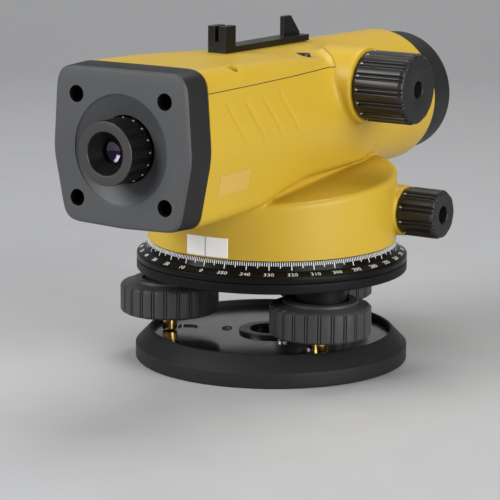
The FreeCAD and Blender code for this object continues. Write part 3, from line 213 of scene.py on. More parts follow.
DARK_STEEL = surface("blackened_steel", (0.05, 0.05, 0.052), rough=0.35, metallic=0.9,
                     grain=1600.0, bump=0.15, depth=0.01, wear=(0.3, 0.3, 0.3), bevel=0.08)
BRASS = surface("turned_brass", (0.80, 0.52, 0.16), rough=0.22, metallic=1.0, grain=900.0,
                bump=0.12, depth=0.01, wear=(0.95, 0.75, 0.4), wear_amount=0.3, bevel=0.08)
ALU = surface("machined_aluminium", (0.62, 0.62, 0.64), rough=0.35, metallic=1.0,
              grain=1400.0, bump=0.12, depth=0.01, wear=(0.8, 0.8, 0.8), wear_amount=0.3,
              bevel=0.08)
MIRROR = surface("silvered_mirror", (0.85, 0.85, 0.87), rough=0.04, metallic=1.0,
                 grain=800.0, bump=0.02, depth=0.005, rough_var=0.02, bevel=0.05)
RUBBER = surface("dark_gasket", (0.05, 0.035, 0.012), rough=0.8, grain=1800.0, bump=0.4,
                 bevel=0.05)
# Near-black painted shade for the inside of the cover's screw wells.
WELL_SHADE = surface("screw_well_painted_shade", (0.003, 0.003, 0.003), specular=0.1, rough=0.8, grain=2200.0,
               bump=0.2, bevel=0.05)
WHITE_INK = surface("white_marking", (0.93, 0.93, 0.93), rough=0.45, **MARKING)
BLACK_INK = surface("black_marking", (0.01, 0.01, 0.01), **MARKING)
WINDOW = surface("white_window", (0.93, 0.945, 0.95), rough=0.28, grain=1600.0, bump=0.05,
                 depth=0.01, bevel=0.08, coat=0.3, coat_rough=0.1)
LABEL = surface("side_label_film", (0.600, 0.375, 0.075), rough=0.38, grain=2400.0,
                bump=0.08, depth=0.01, bevel=0.05)
# Light grey for the domes at the rib ends: a painted highlight, with the domes and their
# glossy coat real.
PIP_HIGHLIGHT = surface("grip_pip_painted_highlight", (0.30, 0.295, 0.29), rough=0.18, grain=3000.0, bump=0.05,
              depth=0.005, rough_var=0.04, bevel=0.03, coat=0.6, coat_rough=0.05)
DIOPTRE_FACE = surface("dioptre_face", (0.030, 0.0295, 0.029), rough=0.38, grain=2600.0,
                       bump=0.3, rough_var=0.05, wear=(0.22, 0.22, 0.22), wear_amount=0.9,
                       bevel=0.12)
FLOOR = surface("floor_card", (0.43, 0.43, 0.435), rough=0.6, grain=400.0, bump=0.05,
                depth=0.05, blotch=0.01, bevel=0.1)
GLASS = glass("coated_glass", (0.75, 0.72, 0.85), rough=0.01, alpha=0.35,
              coat_reflection_tint=(0.5, 0.35, 0.9))
EYE_GLASS = glass("eyepiece_glass", (0.012, 0.009, 0.020), rough=0.11, alpha=0.97,
                  coat_reflection_tint=(0.075, 0.052, 0.13), specular_tint=(0.80, 0.66, 1.0))
VIAL = glass("vial_glass", (0.45, 0.62, 0.10), rough=0.02, alpha=0.55,
             coat_reflection_tint=(0.8, 0.9, 0.6))
BUBBLE = glass("vial_bubble", (0.85, 0.95, 0.70), rough=0.02, alpha=0.55,
               coat_reflection_tint=(0.95, 1.0, 0.9))


# --------------------------------------------------------------- mesh helpers
def link_object(name, mesh):
    ob = bpy.data.objects.new(name, mesh)
    scene.collection.objects.link(ob)
    return ob


def set_finish(mesh, material, sharp):
    mesh.shade_smooth()
    if sharp:
        mesh.set_sharp_from_angle(angle=math.radians(sharp))
    mesh.materials.clear()
    mesh.materials.append(material)


def finish_mesh(ob, material, sharp=32.0):
    """Merge doubles, turn normals outward, and mark edges over `sharp` degrees."""
    bm = bmesh.new()
    bm.from_mesh(ob.data)
    bmesh.ops.remove_doubles(bm, verts=bm.verts, dist=2e-7)
    bmesh.ops.dissolve_degenerate(bm, dist=1e-8, edges=bm.edges)
    bmesh.ops.recalc_face_normals(bm, faces=bm.faces)
    bm.to_mesh(ob.data)
    bm.free()
    set_finish(ob.data, material, sharp)


def mesh_object(name, verts, faces, material, sharp=32.0):
    mesh = bpy.data.meshes.new(name)
    points = (np.asarray(verts, float) * MM).tolist()
    mesh.from_pydata(points, [], [list(map(int, f)) for f in faces])
    mesh.validate()
    ob = link_object(name, mesh)
    finish_mesh(ob, material, sharp)
    return ob


def rounded(points):
    """Closed outline with rounded corners, from (r, z[, rounding[, flute weight]]).

    Returns (r, z, flute weight) points.
    """
    pts = [tuple(p) + (0.0,) * (4 - len(p)) for p in points]
    out = []
    for i, (_, _, rounding, weight) in enumerate(pts):
        before, corner, after = (np.array(pts[j % len(pts)][:2], float)
                                 for j in (i - 1, i, i + 1))
        u, v = before - corner, after - corner
        len_u, len_v = np.hypot(*u), np.hypot(*v)
        if rounding <= 0 or len_u < 1e-9 or len_v < 1e-9:
            out.append((corner[0], corner[1], weight))
            continue
        u, v = u / len_u, v / len_v
        half = math.acos(max(-1.0, min(1.0, float(u @ v)))) / 2
        if half > math.pi / 2 - 0.02:   # almost straight
            out.append((corner[0], corner[1], weight))
            continue
        cut = min(rounding / math.tan(half), 0.49 * len_u, 0.49 * len_v)
        radius = cut * math.tan(half)
        centre = corner + (u + v) / np.hypot(*(u + v)) * (radius / math.sin(half))
        start, end = corner + u * cut, corner + v * cut
        a0 = math.atan2(*(start - centre)[::-1])
        a1 = math.atan2(*(end - centre)[::-1])
        sweep = (a1 - a0 + math.pi) % TURN - math.pi
        steps = max(3, int(abs(sweep) / 0.28))
        for j in range(steps + 1):
            t = a0 + sweep * j / steps
            out.append((centre[0] + radius * math.cos(t),
                        centre[1] + radius * math.sin(t), weight))
    return out


def basis(axis):
    """Two unit vectors square to the axis, and the unit axis."""
    w = np.array(axis, float)
    w /= np.linalg.norm(w)
    ref = np.array((0.0, 0.0, 1.0)) if abs(w[2]) < 0.9 else np.array((1.0, 0.0, 0.0))
    u = ref - (ref @ w) * w
    u /= np.linalg.norm(u)
    return u, np.cross(w, u), w


def lathe(name, outline, origin, axis, material, segments=64, sharp=32.0, grip=None,
          turn=0.0):
    """Turn a closed outline of (r, z[, flute weight]) about an axis.

    grip is (angles, depth function) from flute_pattern, turned by `turn` radians.
    """
    profile = np.array([(tuple(p) + (0.0,))[:3] for p in outline])
    if grip:
        angles = grip[0] + turn
    else:
        angles = np.arange(segments) * 2 * math.pi / segments
    u, v, w = basis(axis)
    m, n = len(angles), len(profile)
    radius = np.repeat(profile[None, :, 0], m, 0)
    if grip:
        radius = radius + grip[1](angles - turn)[:, None] * profile[None, :, 2]
    cos, sin = np.cos(angles)[:, None, None], np.sin(angles)[:, None, None]
    points = (np.array(origin, float) + radius[..., None] * (cos * u + sin * v)
              + profile[None, :, 1, None] * w)
    faces = []
    for i in range(m):
        i2 = (i + 1) % m
        for j in range(n):
            j2 = (j + 1) % n
            if profile[j, 0] < 1e-6 and profile[j2, 0] < 1e-6:   # lies on the axis
                continue
            faces.append((i * n + j, i2 * n + j, i2 * n + j2, i * n + j2))
    return mesh_object(name, points.reshape(-1, 3), faces, material, sharp)


def flute_pattern(radius, count, rib, groove, depth, rib_drop=0.10):
    """Angles and depth function of a grip: wide facets parted by groove, rib, groove.

    rib is half a rib's width.
    """
    period = 2 * math.pi / count
    half = period / 2 * radius
    edge = rib + groove
    keys = [0.0, rib * 0.55, rib * 0.9]
    keys += [rib + groove * k for k in (0.12, 0.3, 0.5, 0.7, 0.86, 0.96)]
    keys += [edge + 0.10, edge + (half - edge) * 0.35, edge + (half - edge) * 0.7, half]
    places = sorted(set([-k for k in keys[1:-1]] + keys))
    angles = np.concatenate([(np.array(places) / radius) + k * period for k in range(count)])

    def depth_at(theta):
        a = (theta + period / 2) % period - period / 2
        s = np.abs(a) * radius
        u = np.clip((s - rib) / groove, 0, 1)
        dip = -depth * np.sin(math.pi * u) ** 0.85 - rib_drop * (1 - u)
        crown = -rib_drop - 0.10 * np.clip(s / rib, 0, 1) ** 2
        w = np.clip((s - edge) / (half - edge), 0, 1)
        facet = -0.10 * (1 - w) ** 2
        return np.where(s <= rib, crown, np.where(s < edge, np.minimum(dip, -0.10 * u), facet))
    return angles, depth_at


def evaluated_mesh(ob):
    depsgraph = bpy.context.evaluated_depsgraph_get()
    return bpy.data.meshes.new_from_object(ob.evaluated_get(depsgraph))


def drop(ob):
    mesh = ob.data
    bpy.data.objects.remove(ob)
    if mesh and mesh.users == 0:
        bpy.data.meshes.remove(mesh)


def boolean(ob, cutter, operation="DIFFERENCE"):
    """Apply a boolean to the object and drop the cutter."""
    mod = ob.modifiers.new("cut", "BOOLEAN")
    mod.operation = operation
    mod.object = cutter
    mod.solver = "MANIFOLD"
    mesh = evaluated_mesh(ob)
    if not mesh.polygons:   # the manifold solver gives nothing for a mesh that is not closed
        mod.solver = "EXACT"
        mesh = evaluated_mesh(ob)
    ob.modifiers.clear()
    old = ob.data
    ob.data = mesh
    bpy.data.meshes.remove(old)
    drop(cutter)
    return ob


def solid_box(x0, x1, y0, y1, z0, z1):
    verts = [(x, y, z) for x in (x0, x1) for y in (y0, y1) for z in (z0, z1)]
    faces = [(0, 1, 3, 2), (4, 6, 7, 5), (0, 4, 5, 1), (2, 3, 7, 6), (0, 2, 6, 4),
             (1, 5, 7, 3)]
    return mesh_object("cutter", verts, faces, GREY, 0)


def rod(origin, axis, radius, length, segments=64):
    outline = [(0, 0), (radius, 0), (radius, length), (0, length)]
    return lathe("cutter", outline, origin, axis, GREY, segments, sharp=0)


def prism(points, z0, z1):
    n = len(points)
    verts = [(x, y, z) for z in (z0, z1) for x, y in points]
    faces = [list(range(n))[::-1], [n + i for i in range(n)]]
    faces += [(i, (i + 1) % n, n + (i + 1) % n, n + i) for i in range(n)]
    return mesh_object("cutter", verts, faces, GREY, 0)


def turned_by(points, degrees):
    c, s = math.cos(math.radians(degrees)), math.sin(math.radians(degrees))
    return [(x * c - y * s, x * s + y * c) for x, y, *_ in points]


def join(name, objects):
    """Make one mesh of several that share a material."""
    bm = bmesh.new()
    for ob in objects:
        bm.from_mesh(ob.data)
    for face in bm.faces:
        face.material_index = 0
    mesh = bpy.data.meshes.new(name)
    bm.to_mesh(mesh)
    bm.free()
    mesh.materials.append(objects[0].data.materials[0])
    joined = link_object(name, mesh)
    for ob in objects:
        drop(ob)
    return joined


def slab_faces(nu, nv):
    """Faces of a thin sheet given as two (nu + 1) by (nv + 1) grids of points."""
    def at(side, i, j):
        return side * (nu + 1) * (nv + 1) + i * (nv + 1) + j
    faces = []
    for i in range(nu):
        for j in range(nv):
            faces.append((at(0, i, j), at(0, i, j + 1), at(0, i + 1, j + 1), at(0, i + 1, j)))
            faces.append((at(1, i, j), at(1, i + 1, j), at(1, i + 1, j + 1), at(1, i, j + 1)))
        faces.append((at(0, i, 0), at(0, i + 1, 0), at(1, i + 1, 0), at(1, i, 0)))
        faces.append((at(0, i, nv), at(1, i, nv), at(1, i + 1, nv), at(0, i + 1, nv)))
    for j in range(nv):
        faces.append((at(0, 0, j), at(1, 0, j), at(1, 0, j + 1), at(0, 0, j + 1)))
        faces.append((at(0, nu, j), at(0, nu, j + 1), at(1, nu, j + 1), at(1, nu, j)))
    return faces


def add_bevel(ob, width):
    bevel = ob.modifiers.new("edge", "BEVEL")
    bevel.width = width * MM
    bevel.segments = 2
    return bevel


def put(ob, body, slot, *replaced):
    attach(ob, body)
    if replaced:
        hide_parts(*replaced)


# -------------------------------------------------------------- casing fields
# The casing is a signed distance field, negative inside.
EYEPIECE_END = [   # tube outline at -Y: x, z, corner rounding
    (-26.0, 68.0, 5.5), (26.0, 68.0, 5.5), (31.4, 96.0, 30.0),
    (29.2, 126.2, 6.5), (-29.2, 126.2, 6.5), (-31.4, 96.0, 30.0)]
SECTIONS = np.array([   # y, share of the round section, its radius, scale of the outline
    (-89.5, 0.0, 28.6, 1.0), (-60.0, 0.06, 28.8, 0.995), (-30.0, 0.25, 29.0, 0.985),
    (0.0, 0.6, 29.0, 0.975), (30.0, 0.92, 28.6, 0.97), (58.0, 1.0, 28.1, 0.97),
    (83.0, 1.0, 27.8, 0.97)])
RIDGE = np.array([   # y, z of the skirt's lower edge
    (-95.0, 70.2), (-56.0, 70.2), (-51.0, 70.6), (-40.5, 72.6), (-28.3, 75.0),
    (-15.6, 77.3), (-12.0, 77.5), (60.0, 77.5)])
TUBE_END_Y = 83.0
SHELF_SLOPE = math.radians(5.3)      # the drum's top rises towards +Y
SHELF_Z = 74.2
GROOVE_YS = [-77.2, -64.7, -52.2, -39.9]       # slanted grooves on the right side
GROOVE_Z = 112.4
GROOVE_DIR = (12.0 / 18.9, -14.6 / 18.9)       # y, z
WALL = 2.6


def smooth(values, half, sigma, mode):
    """Gaussian smoothing over 2 * half + 1 samples."""
    kernel = np.exp(-0.5 * (np.arange(-half, half + 1) / sigma) ** 2)
    return np.convolve(np.pad(values, half, mode=mode), kernel / kernel.sum(), "valid")


def polar_table(corners, count):
    """Radius of a rounded (x, z, rounding) outline about the sight line, at even angles."""
    pts = np.array(rounded(corners))[:, :2]
    pts[:, 1] -= TUBE_Z
    edge = np.roll(pts, -1, 0) - pts
    angles = np.arange(count) * 2 * math.pi / count
    ux, uz = np.cos(angles)[:, None], np.sin(angles)[:, None]
    ax, az, ex, ez = pts[:, 0], pts[:, 1], edge[:, 0], edge[:, 1]
    det = ux * (-ez) + ex * uz
    det = np.where(np.abs(det) < 1e-12, 1e-12, det)
    t = (ax * (-ez) + ex * az) / det
    s = (ux * az - uz * ax) / det
    hit = (t > 0) & (s >= -1e-9) & (s <= 1 + 1e-9)
    return smooth(np.where(hit, t, 0).max(1), 9, 3.0, "wrap")


END_R = polar_table(EYEPIECE_END, 1440)
END_SLOPE = (np.roll(END_R, -1) - np.roll(END_R, 1)) / (2 * 2 * math.pi / len(END_R))
YS = np.arange(-100.0, 95.0, 0.5)
SECTION_TABLES = [smooth(np.interp(YS, SECTIONS[:, 0], SECTIONS[:, c]), 24, 10.0, "edge")
                  for c in (1, 2, 3)]
RIDGE_TABLE = smooth(np.interp(YS, RIDGE[:, 0], RIDGE[:, 1]), 8, 3.5, "edge")


def at_angle(theta, values):
    """Interpolate a table of even angles."""
    n = len(values)
    u = (theta / (2 * math.pi) * n) % n
    i = np.floor(u).astype(np.int64)
    w = u - i
    i %= n
    return values[i] * (1 - w) + values[(i + 1) % n] * w


def round_max(a, b, r):
    """Intersection with an edge of radius r."""
    qa, qb = a + r, b + r
    return (np.minimum(np.maximum(qa, qb), 0)
            + np.hypot(np.maximum(qa, 0), np.maximum(qb, 0)) - r)


def soft_min(a, b, k):
    h = np.maximum(k - np.abs(a - b), 0) / k
    return np.minimum(a, b) - h * h * k * 0.25


def soft_max(a, b, k):
    return -soft_min(-a, -b, k)


def tube_field(x, y, z, inset=0.0):
    dz = z - TUBE_Z
    rho = np.hypot(x, dz) + 1e-9
    theta = np.arctan2(dz, x)
    share, round_r, scale = (np.interp(y, YS, t) for t in SECTION_TABLES)
    radius = share * round_r + (1 - share) * at_angle(theta, END_R) * scale
    slope = (1 - share) * at_angle(theta, END_SLOPE) * scale
    return (rho - radius + inset) / np.sqrt(1 + (slope / radius) ** 2)


def shelf(y, z, shift=0.0):
    """Sloping top of the drum."""
    return (z - SHELF_Z - shift) * math.cos(SHELF_SLOPE) - y * math.sin(SHELF_SLOPE)


def ridge(y):
    return np.interp(y, YS, RIDGE_TABLE)


def under_cut(x, y, z):
    """Recess between the casing's lower edge and the shelf."""
    return round_max(round_max(z - ridge(y), 22.3 - np.abs(x), 2.0), -37.5 - y, 2.5)


def tube_and_skirt(x, y, z):
    tube = round_max(tube_field(x, y, z), y - TUBE_END_Y, 0.9)
    tube = soft_max(tube, -under_cut(x, y, z), 0.8)
    narrowing = np.where(y > 20.0, (y - 20.0) ** 2 * 0.011, 0.0)
    lean = np.abs(x) - 26.0 - 0.158 * (z - 77.4) + narrowing
    skirt = round_max(lean * 0.985, ridge(y) - z, 2.3)
    skirt = round_max(skirt, np.maximum(y - 37.0, -52.0 - y), 1.5)
    return soft_min(tube, np.maximum(skirt, z - 97.0), 2.0)


def groove_depth(y, z):
    """Share of the full groove depth, fading at the groove ends."""
    dent = np.zeros_like(y)
    uy, uz = GROOVE_DIR
    for groove_y in GROOVE_YS:
        py, pz = y - groove_y, z - GROOVE_Z
        along = py * uy + pz * uz
        across = py * uz - pz * uy
        ends = np.clip((along + 2.6) / 3.0, 0, 1) * np.clip((19.4 - along) / 3.0, 0, 1)
        dent = np.maximum(dent, ends * np.exp(-(across / 1.15) ** 2))
    return dent


def outer_field(x, y, z):
    drum = round_max(np.hypot(x, y) - 49.6, shelf(y, z), 2.0)
    f = soft_min(tube_and_skirt(x, y, z), drum, 1.0)
    boss = round_max(np.hypot(y - FOCUS_Y, z - FOCUS_Z) - FOCUS_BOSS_R, x - 33.5, 0.9)
    f = soft_min(f, round_max(boss, 15.0 - x, 0.5), 3.0)
    for side in (1, -1):
        boss = round_max(np.hypot(y - TANGENT_Y, z - TANGENT_Z) - 10.0, side * x - 48.8, 0.7)
        f = soft_min(f, round_max(boss, 32.0 - side * x, 0.5), 1.0)
    vial_pad = round_max(np.hypot(x - VIAL_X, y - VIAL_Y) - 9.0, z - 76.5, 0.5)
    f = soft_min(f, vial_pad, 1.2)
    return f + 0.50 * groove_depth(y, z) * (x > 20.0)


def inner_field(x, y, z):
    """Hollow of the casing and its bores."""
    sight = np.hypot(x, z - TUBE_Z)
    focus = np.hypot(y - FOCUS_Y, z - FOCUS_Z)
    tangent = np.hypot(y - TANGENT_Y, z - TANGENT_Z)
    tube = np.maximum(np.maximum(tube_field(x, y, z, WALL), -86.5 - y), y - 53.9)
    tube = np.maximum(tube, -(under_cut(x, y, z) - 2.2))
    f = np.minimum(tube, np.maximum(np.hypot(x, y) - 46.5, shelf(y, z, -3.0)))
    for bore in (np.maximum(sight - 17.0, y + 80.0), np.maximum(sight - 21.0, 53.5 - y),
                 np.maximum(focus - 6.0, 15.0 - x),
                 np.maximum(tangent - 5.0, 30.0 - np.abs(x))):
        f = np.minimum(f, bore)
    return f


def shell_field(x, y, z):
    outer = outer_field(x, y, z)
    f = np.maximum(outer, -inner_field(x, y, z))
    ax = np.abs(x)
    posts = np.full_like(f, 9.0)
    for side in (1, -1):   # eyepiece cover screws
        post = np.hypot(ax - END_SCREW_X, z - TUBE_Z - side * END_SCREW_DZ) - 4.0
        posts = np.minimum(posts, np.maximum(post, y + 80.0))
    for px, py in COVER_POSTS:
        posts = np.minimum(posts, np.maximum(np.hypot(ax - px, y - py) - 4.0, 105.8 - z))
    drum_post = np.hypot(ax - 30.406, np.abs(y) - 30.406) - 4.0
    posts = np.minimum(posts, np.maximum(np.maximum(drum_post, z - 61.0), 52.0 - z))
    web = np.maximum(np.abs(ax - 23.0) - 6.0, np.abs(y + 5.0) - 1.5)
    posts = np.minimum(posts, np.maximum(web, 105.8 - z))
    return np.minimum(f, np.maximum(posts, outer + 0.3))


# ------------------------------------------------------------- casing meshing
def surface_nets(field, lo, hi, h):
    """Quads around the zero level of a field: one vertex in each cell it crosses."""
    n = [int(math.ceil((hi[i] - lo[i]) / h)) + 1 for i in range(3)]
    xs, ys, zs = [lo[i] + h * np.arange(n[i]) for i in range(3)]
    values = np.empty(n, np.float32)
    y_grid, z_grid = np.meshgrid(ys, zs, indexing="ij")
    for i, x in enumerate(xs):
        values[i] = field(np.full(y_grid.shape, x), y_grid, z_grid)
    inside = values < 0
    cells = tuple(m - 1 for m in n)
    count = np.zeros(cells, np.int8)
    for i in (0, 1):
        for j in (0, 1):
            for k in (0, 1):
                count += inside[i:i + cells[0], j:j + cells[1], k:k + cells[2]]
    mixed = (count > 0) & (count < 8)
    index = np.argwhere(mixed)
    ids = np.full(cells, -1, np.int64)
    ids[mixed] = np.arange(len(index))
    # each vertex is the mean of the crossings on its cell's edges
    total = np.zeros((len(index), 3))
    hits = np.zeros(len(index))
    for axis in range(3):
        others = [b for b in range(3) if b != axis]
        for u in (0, 1):
            for v in (0, 1):
                start = np.zeros(3, int)
                start[others] = u, v
                end = start.copy()
                end[axis] = 1
                f0 = values[tuple((index + start).T)]
                f1 = values[tuple((index + end).T)]
                hit = (f0 < 0) != (f1 < 0)
                t = np.where(hit, f0 / np.where(hit, f0 - f1, 1), 0)
                total += np.where(hit[:, None], start + t[:, None] * (end - start), 0)
                hits += hit
    verts = np.array(lo) + h * (index + total / hits[:, None])
    # each crossed grid edge gives a quad of the four cells around it
    quads = []
    for a in range(3):
        b, c = (a + 1) % 3, (a + 2) % 3
        near, far = [slice(None)] * 3, [slice(None)] * 3
        near[a], far[a] = slice(0, -1), slice(1, None)
        where = np.argwhere(inside[tuple(near)] != inside[tuple(far)])
        ok = ((where[:, b] > 0) & (where[:, c] > 0)
              & (where[:, b] < cells[b]) & (where[:, c] < cells[c]))
        where = where[ok]
        outward = inside[tuple(near)][tuple(where.T)]
        ring = []
        for db, dc in ((-1, -1), (0, -1), (0, 0), (-1, 0)):
            cell = where.copy()
            cell[:, b] += db
            cell[:, c] += dc
            ring.append(ids[tuple(cell.T)])
        quad = np.stack(ring, 1)
        quads.append(np.where(outward[:, None], quad, quad[:, ::-1]))
    quads = np.concatenate(quads)
    return verts, quads[(quads >= 0).all(1)]


def settle(field, points, rounds):
    """Walk points down the gradient onto the zero level, 0.5 mm at most each round."""
    e = 0.02
    for _ in range(rounds):
        x, y, z = points.T
        f = field(x, y, z)
        slope = np.stack([field(x + e, y, z) - field(x - e, y, z),
                          field(x, y + e, z) - field(x, y - e, z),
                          field(x, y, z + e) - field(x, y, z - e)], 1) / (2 * e)
        move = -(f / ((slope * slope).sum(1) + 1e-6))[:, None] * slope
        length = np.linalg.norm(move, axis=1, keepdims=True)
        points = points + move * np.minimum(1.0, 0.5 / (length + 1e-9))
    return points


def quad_object(name, verts, quads, material):
    """Object straight from large arrays of points and quads."""
    mesh = bpy.data.meshes.new(name)
    verts = np.ascontiguousarray(verts * MM, np.float32)
    quads = np.ascontiguousarray(quads, np.int32)
    mesh.vertices.add(len(verts))
    mesh.vertices.foreach_set("co", verts.ravel())
    mesh.loops.add(quads.size)
    mesh.loops.foreach_set("vertex_index", quads.ravel())
    mesh.polygons.add(len(quads))
    mesh.polygons.foreach_set("loop_start", np.arange(0, quads.size, 4, dtype=np.int32))
    mesh.update(calc_edges=True)
    mesh.validate()
    mesh.materials.append(material)
    return link_object(name, mesh)


def refine_grooves(ob):
    """Halve the edges around the side grooves, then settle every vertex again."""
    def near_grooves(co):   # metres
        return co.x > 0.0285 and -0.0855 < co.y < -0.022 and 0.0935 < co.z < 0.1168
    bm = bmesh.new()
    bm.from_mesh(ob.data)
    edges = [e for e in bm.edges if all(near_grooves(v.co) for v in e.verts)]
    bmesh.ops.subdivide_edges(bm, edges=edges, cuts=1, use_grid_fill=True)
    bmesh.ops.triangulate(bm, faces=[f for f in bm.faces if len(f.verts) > 4])
    bm.to_mesh(ob.data)
    bm.free()
    co = np.empty(len(ob.data.vertices) * 3)
    ob.data.vertices.foreach_get("co", co)
    co = settle(shell_field, co.reshape(-1, 3) / MM, 2)
    ob.data.vertices.foreach_set("co", (co * MM).ravel())
    ob.data.update()


def cut_plane(ob, point, normal):
    """Cut away the side the normal points to and close the cut face."""
    bm = bmesh.new()
    bm.from_mesh(ob.data)
    cut = bmesh.ops.bisect_plane(
        bm, geom=bm.verts[:] + bm.edges[:] + bm.faces[:], dist=1e-7,
        plane_co=[c * MM for c in point], plane_no=normal, clear_outer=True)["geom_cut"]
    edges = [e for e in cut if isinstance(e, bmesh.types.BMEdge) and e.is_boundary]
    bmesh.ops.triangle_fill(bm, use_beauty=True, use_dissolve=False, edges=edges,
                            normal=normal)
    bm.to_mesh(ob.data)
    bm.free()


# --------------------------------------------- housing, top cover and gasket
GASKET_Z, COVER_Z = 117.8, 118.1     # undersides
COVER_GAP = 0.15                     # round the focusing boss
VOXEL = 0.8


def cover_region(z0, gap):
    """Block above z0 that leaves out the focusing boss."""
    block = solid_box(-60, 60, -90.5, 35.0, z0, 160)
    boss = rod((14.0, FOCUS_Y, FOCUS_Z), (1, 0, 0), FOCUS_BOSS_R + gap, 30.0, 128)
    return boolean(block, boss)


def copy_of(ob, name):
    copy = ob.copy()
    copy.data = ob.data.copy()
    copy.name = name
    copy.data.name = name
    scene.collection.objects.link(copy)
    return copy


net_verts, net_quads = surface_nets(shell_field, (-51.7, -91.3, 46.9), (51.3, 84.9, 127.4),
                                    VOXEL)
shell = quad_object("casing_shell", settle(shell_field, net_verts, 3), net_quads, YELLOW)
refine_grooves(shell)
cut_plane(shell, (0, 0, 48.6), (0, 0, -1))
cut_plane(shell, (0, -89.5, 0), (0, -1, 0))

housing = boolean(copy_of(shell, "housing_skin"), cover_region(GASKET_Z, 0.0))
cover = boolean(copy_of(shell, "cover_skin"), cover_region(COVER_Z, COVER_GAP), "INTERSECT")
for side in (-1, 1):
    for px, py in COVER_POSTS:
        # a wide bore for each screw head down to its seat, a narrow one for the shank
        cover = boolean(cover, rod((side * px, py, 121.05), (0, 0, 1), 2.95, 20.0, 40))
        cover = boolean(cover, rod((side * px, py, 117.0), (0, 0, 1), 1.55, 8.0, 24))
gasket_slab = boolean(cover_region(GASKET_Z, COVER_GAP),
                      solid_box(-61, 61, -91, 36, COVER_Z, 161))
gasket = boolean(copy_of(shell, "gasket_skin"), gasket_slab, "INTERSECT")
drop(shell)
for ob, material in ((housing, YELLOW), (cover, YELLOW), (gasket, RUBBER)):
    set_finish(ob.data, material, 34)
put(housing, "alidade", "yellow_paint", "main_housing")
put(cover, "alidade", "yellow_paint", "top_cover")
put(gasket, "alidade", "gasket_rubber", "cover_gasket")

# --------------------------------------------------------------- base casting
# Lathe outlines list (radius, height[, rounding[, flute weight]]).
ORIGIN, UP = (0, 0, 0), (0, 0, 1)

# The dish and the joined piece both ask for base_skin, so the piece gets a numbered name.
dish = lathe("base_skin", rounded([
    (12.0, 0), (54.5, 0, 0.6), (54.5, 5.9, 0.35), (53.9, 6.4, 0.3), (48.7, 11.9, 0.7),
    (47.7, 11.7, 0.2), (47.7, 8.0), (43.0, 8.0), (43.0, 4.0, 0.6), (21.0, 4.0, 0.6),
    (21.0, 8.0), (12.0, 8.0)]), ORIGIN, UP, CASTING, 256)
BOSS = rounded([(0, 3.6), (5.0, 3.6), (5.0, 8.0, 0.3), (0, 8.0)])
bosses = [lathe("boss", BOSS, (x, y, 0), UP, CASTING, 48) for x, y in FEET]
put(join("base_skin", [dish] + bosses), "base", "black_casting", "base_casting")

THREAD_PITCH = 2.309
thread = []
z = 0.6
while z < 9.0:
    thread += [(7.94, z), (8.9, z + 0.9), (8.9, z + 1.15)]
    z += THREAD_PITCH
bush = lathe("thread_bush_skin", [(7.96, 0.0)] + thread + rounded([
    (7.96, 9.9), (8.8, 10.7, 0.1), (13.0, 10.7, 0.35), (13.0, 9.5), (11.98, 9.5),
    (11.98, 0, 0.2)]), ORIGIN, UP, ANODISED, 128)
put(bush, "base", "steel", "tripod_thread_bush")

# --------------------------------------------------------------- spring plate
SLOT = turned_by(rounded([(30.1, -9.3, 3.2), (38.0, -9.3, 2.2), (38.0, 0.6, 2.2),
                          (30.1, 0.6, 3.2)]), -150)
NOTCH = [(44.5, -0.5), (49.0, -0.5), (49.0, 0.5), (44.5, 0.5)]
PLATE_SCREW_R = 18.7

plate = lathe("spring_plate_skin", rounded([
    (12.0, 8.0), (47.6, 8.0, 0.1), (47.6, 9.5, 0.25), (12.0, 9.5)]), ORIGIN, UP, PLATE, 256)
for turn in THIRDS:
    plate = boolean(plate, prism(turned_by(SLOT, turn), 8.8, 11.0))
plate = boolean(plate, prism(turned_by(NOTCH, 37.5), 7.0, 11.0))
finish_mesh(plate, PLATE, 30)
put(plate, "base", "plate_steel", "spring_plate")

SCREW_HEAD = rounded([(0, 9.45), (2.0, 9.45, 0.05), (2.0, 10.2, 0.25), (1.1, 10.4, 0.3),
                      (0, 10.4)])
SCREW_SHANK = [(0, 4.2), (1.2, 4.2), (1.2, 9.46), (0, 9.46)]
parts = []
for turn in THIRDS:
    angle = math.radians(-163.9 + turn)
    x, y = PLATE_SCREW_R * math.cos(angle), PLATE_SCREW_R * math.sin(angle)
    head = lathe("head", SCREW_HEAD, (x, y, 0), UP, STEEL, 48)
    driver_slot = solid_box(x - 3, x + 3, y - 0.3, y + 0.3, 9.95, 12)
    parts.append(boolean(head, driver_slot))
    parts.append(lathe("shank", SCREW_SHANK, (x, y, 0), UP, STEEL, 32))
screws = join("plate_screw_skin", parts)
finish_mesh(screws, STEEL, 35)
put(screws, "base", "screw_steel", "spring_plate_screws")

# ------------------------------------------------------- foot pins and knobs
PIN = rounded([(0, 9.6), (1.2, 9.6, 0.1), (3.0, 10.0, 0.3), (3.0, 20.1, 0.7), (0, 20.1)])
pins = [lathe("pin", PIN, (x, y, 0), UP, BRASS) for x, y in FEET[:2]]
put(join("front_pin_skin", pins), "base", "brass", "foot_pins_front")
rear_pin = lathe("rear_pin_skin", PIN, (*FEET[2], 0), UP, BRASS)
put(rear_pin, "rear_foot", "brass", "foot_pin_rear")

FOOT_KNOB = rounded([
    (3.0, 22.6), (4.2, 22.6), (4.2, 17.5, 0.2), (18.5, 17.5, 0.3, 0.3), (19.8, 18.4, 0.5, 1),
    (19.8, 28.4, 0.5, 1), (18.9, 29.3, 0.4, 1), (17.6, 29.5, 0.3), (15.2, 30.2, 0.4),
    (14.6, 30.3, 0.15), (14.4, 31.3, 0.4), (11.2, 31.4, 0.3), (10.75, 30.9, 0.2),
    (10.75, 25.4, 0.2), (3.0, 25.4)])
FOOT_GRIP = flute_pattern(radius=19.8, count=24, rib=0.24, groove=0.62, depth=0.72)
for (x, y), side, angle in zip(FEET, FOOT_SIDES, FOOT_ANGLES):
    knob = lathe("foot_knob_%s_skin" % side, FOOT_KNOB, (x, y, 0), UP, FOOT, sharp=30,
                 grip=FOOT_GRIP, turn=angle)
    put(knob, "foot_screw_" + side, "black_plastic", "foot_knob_" + side)

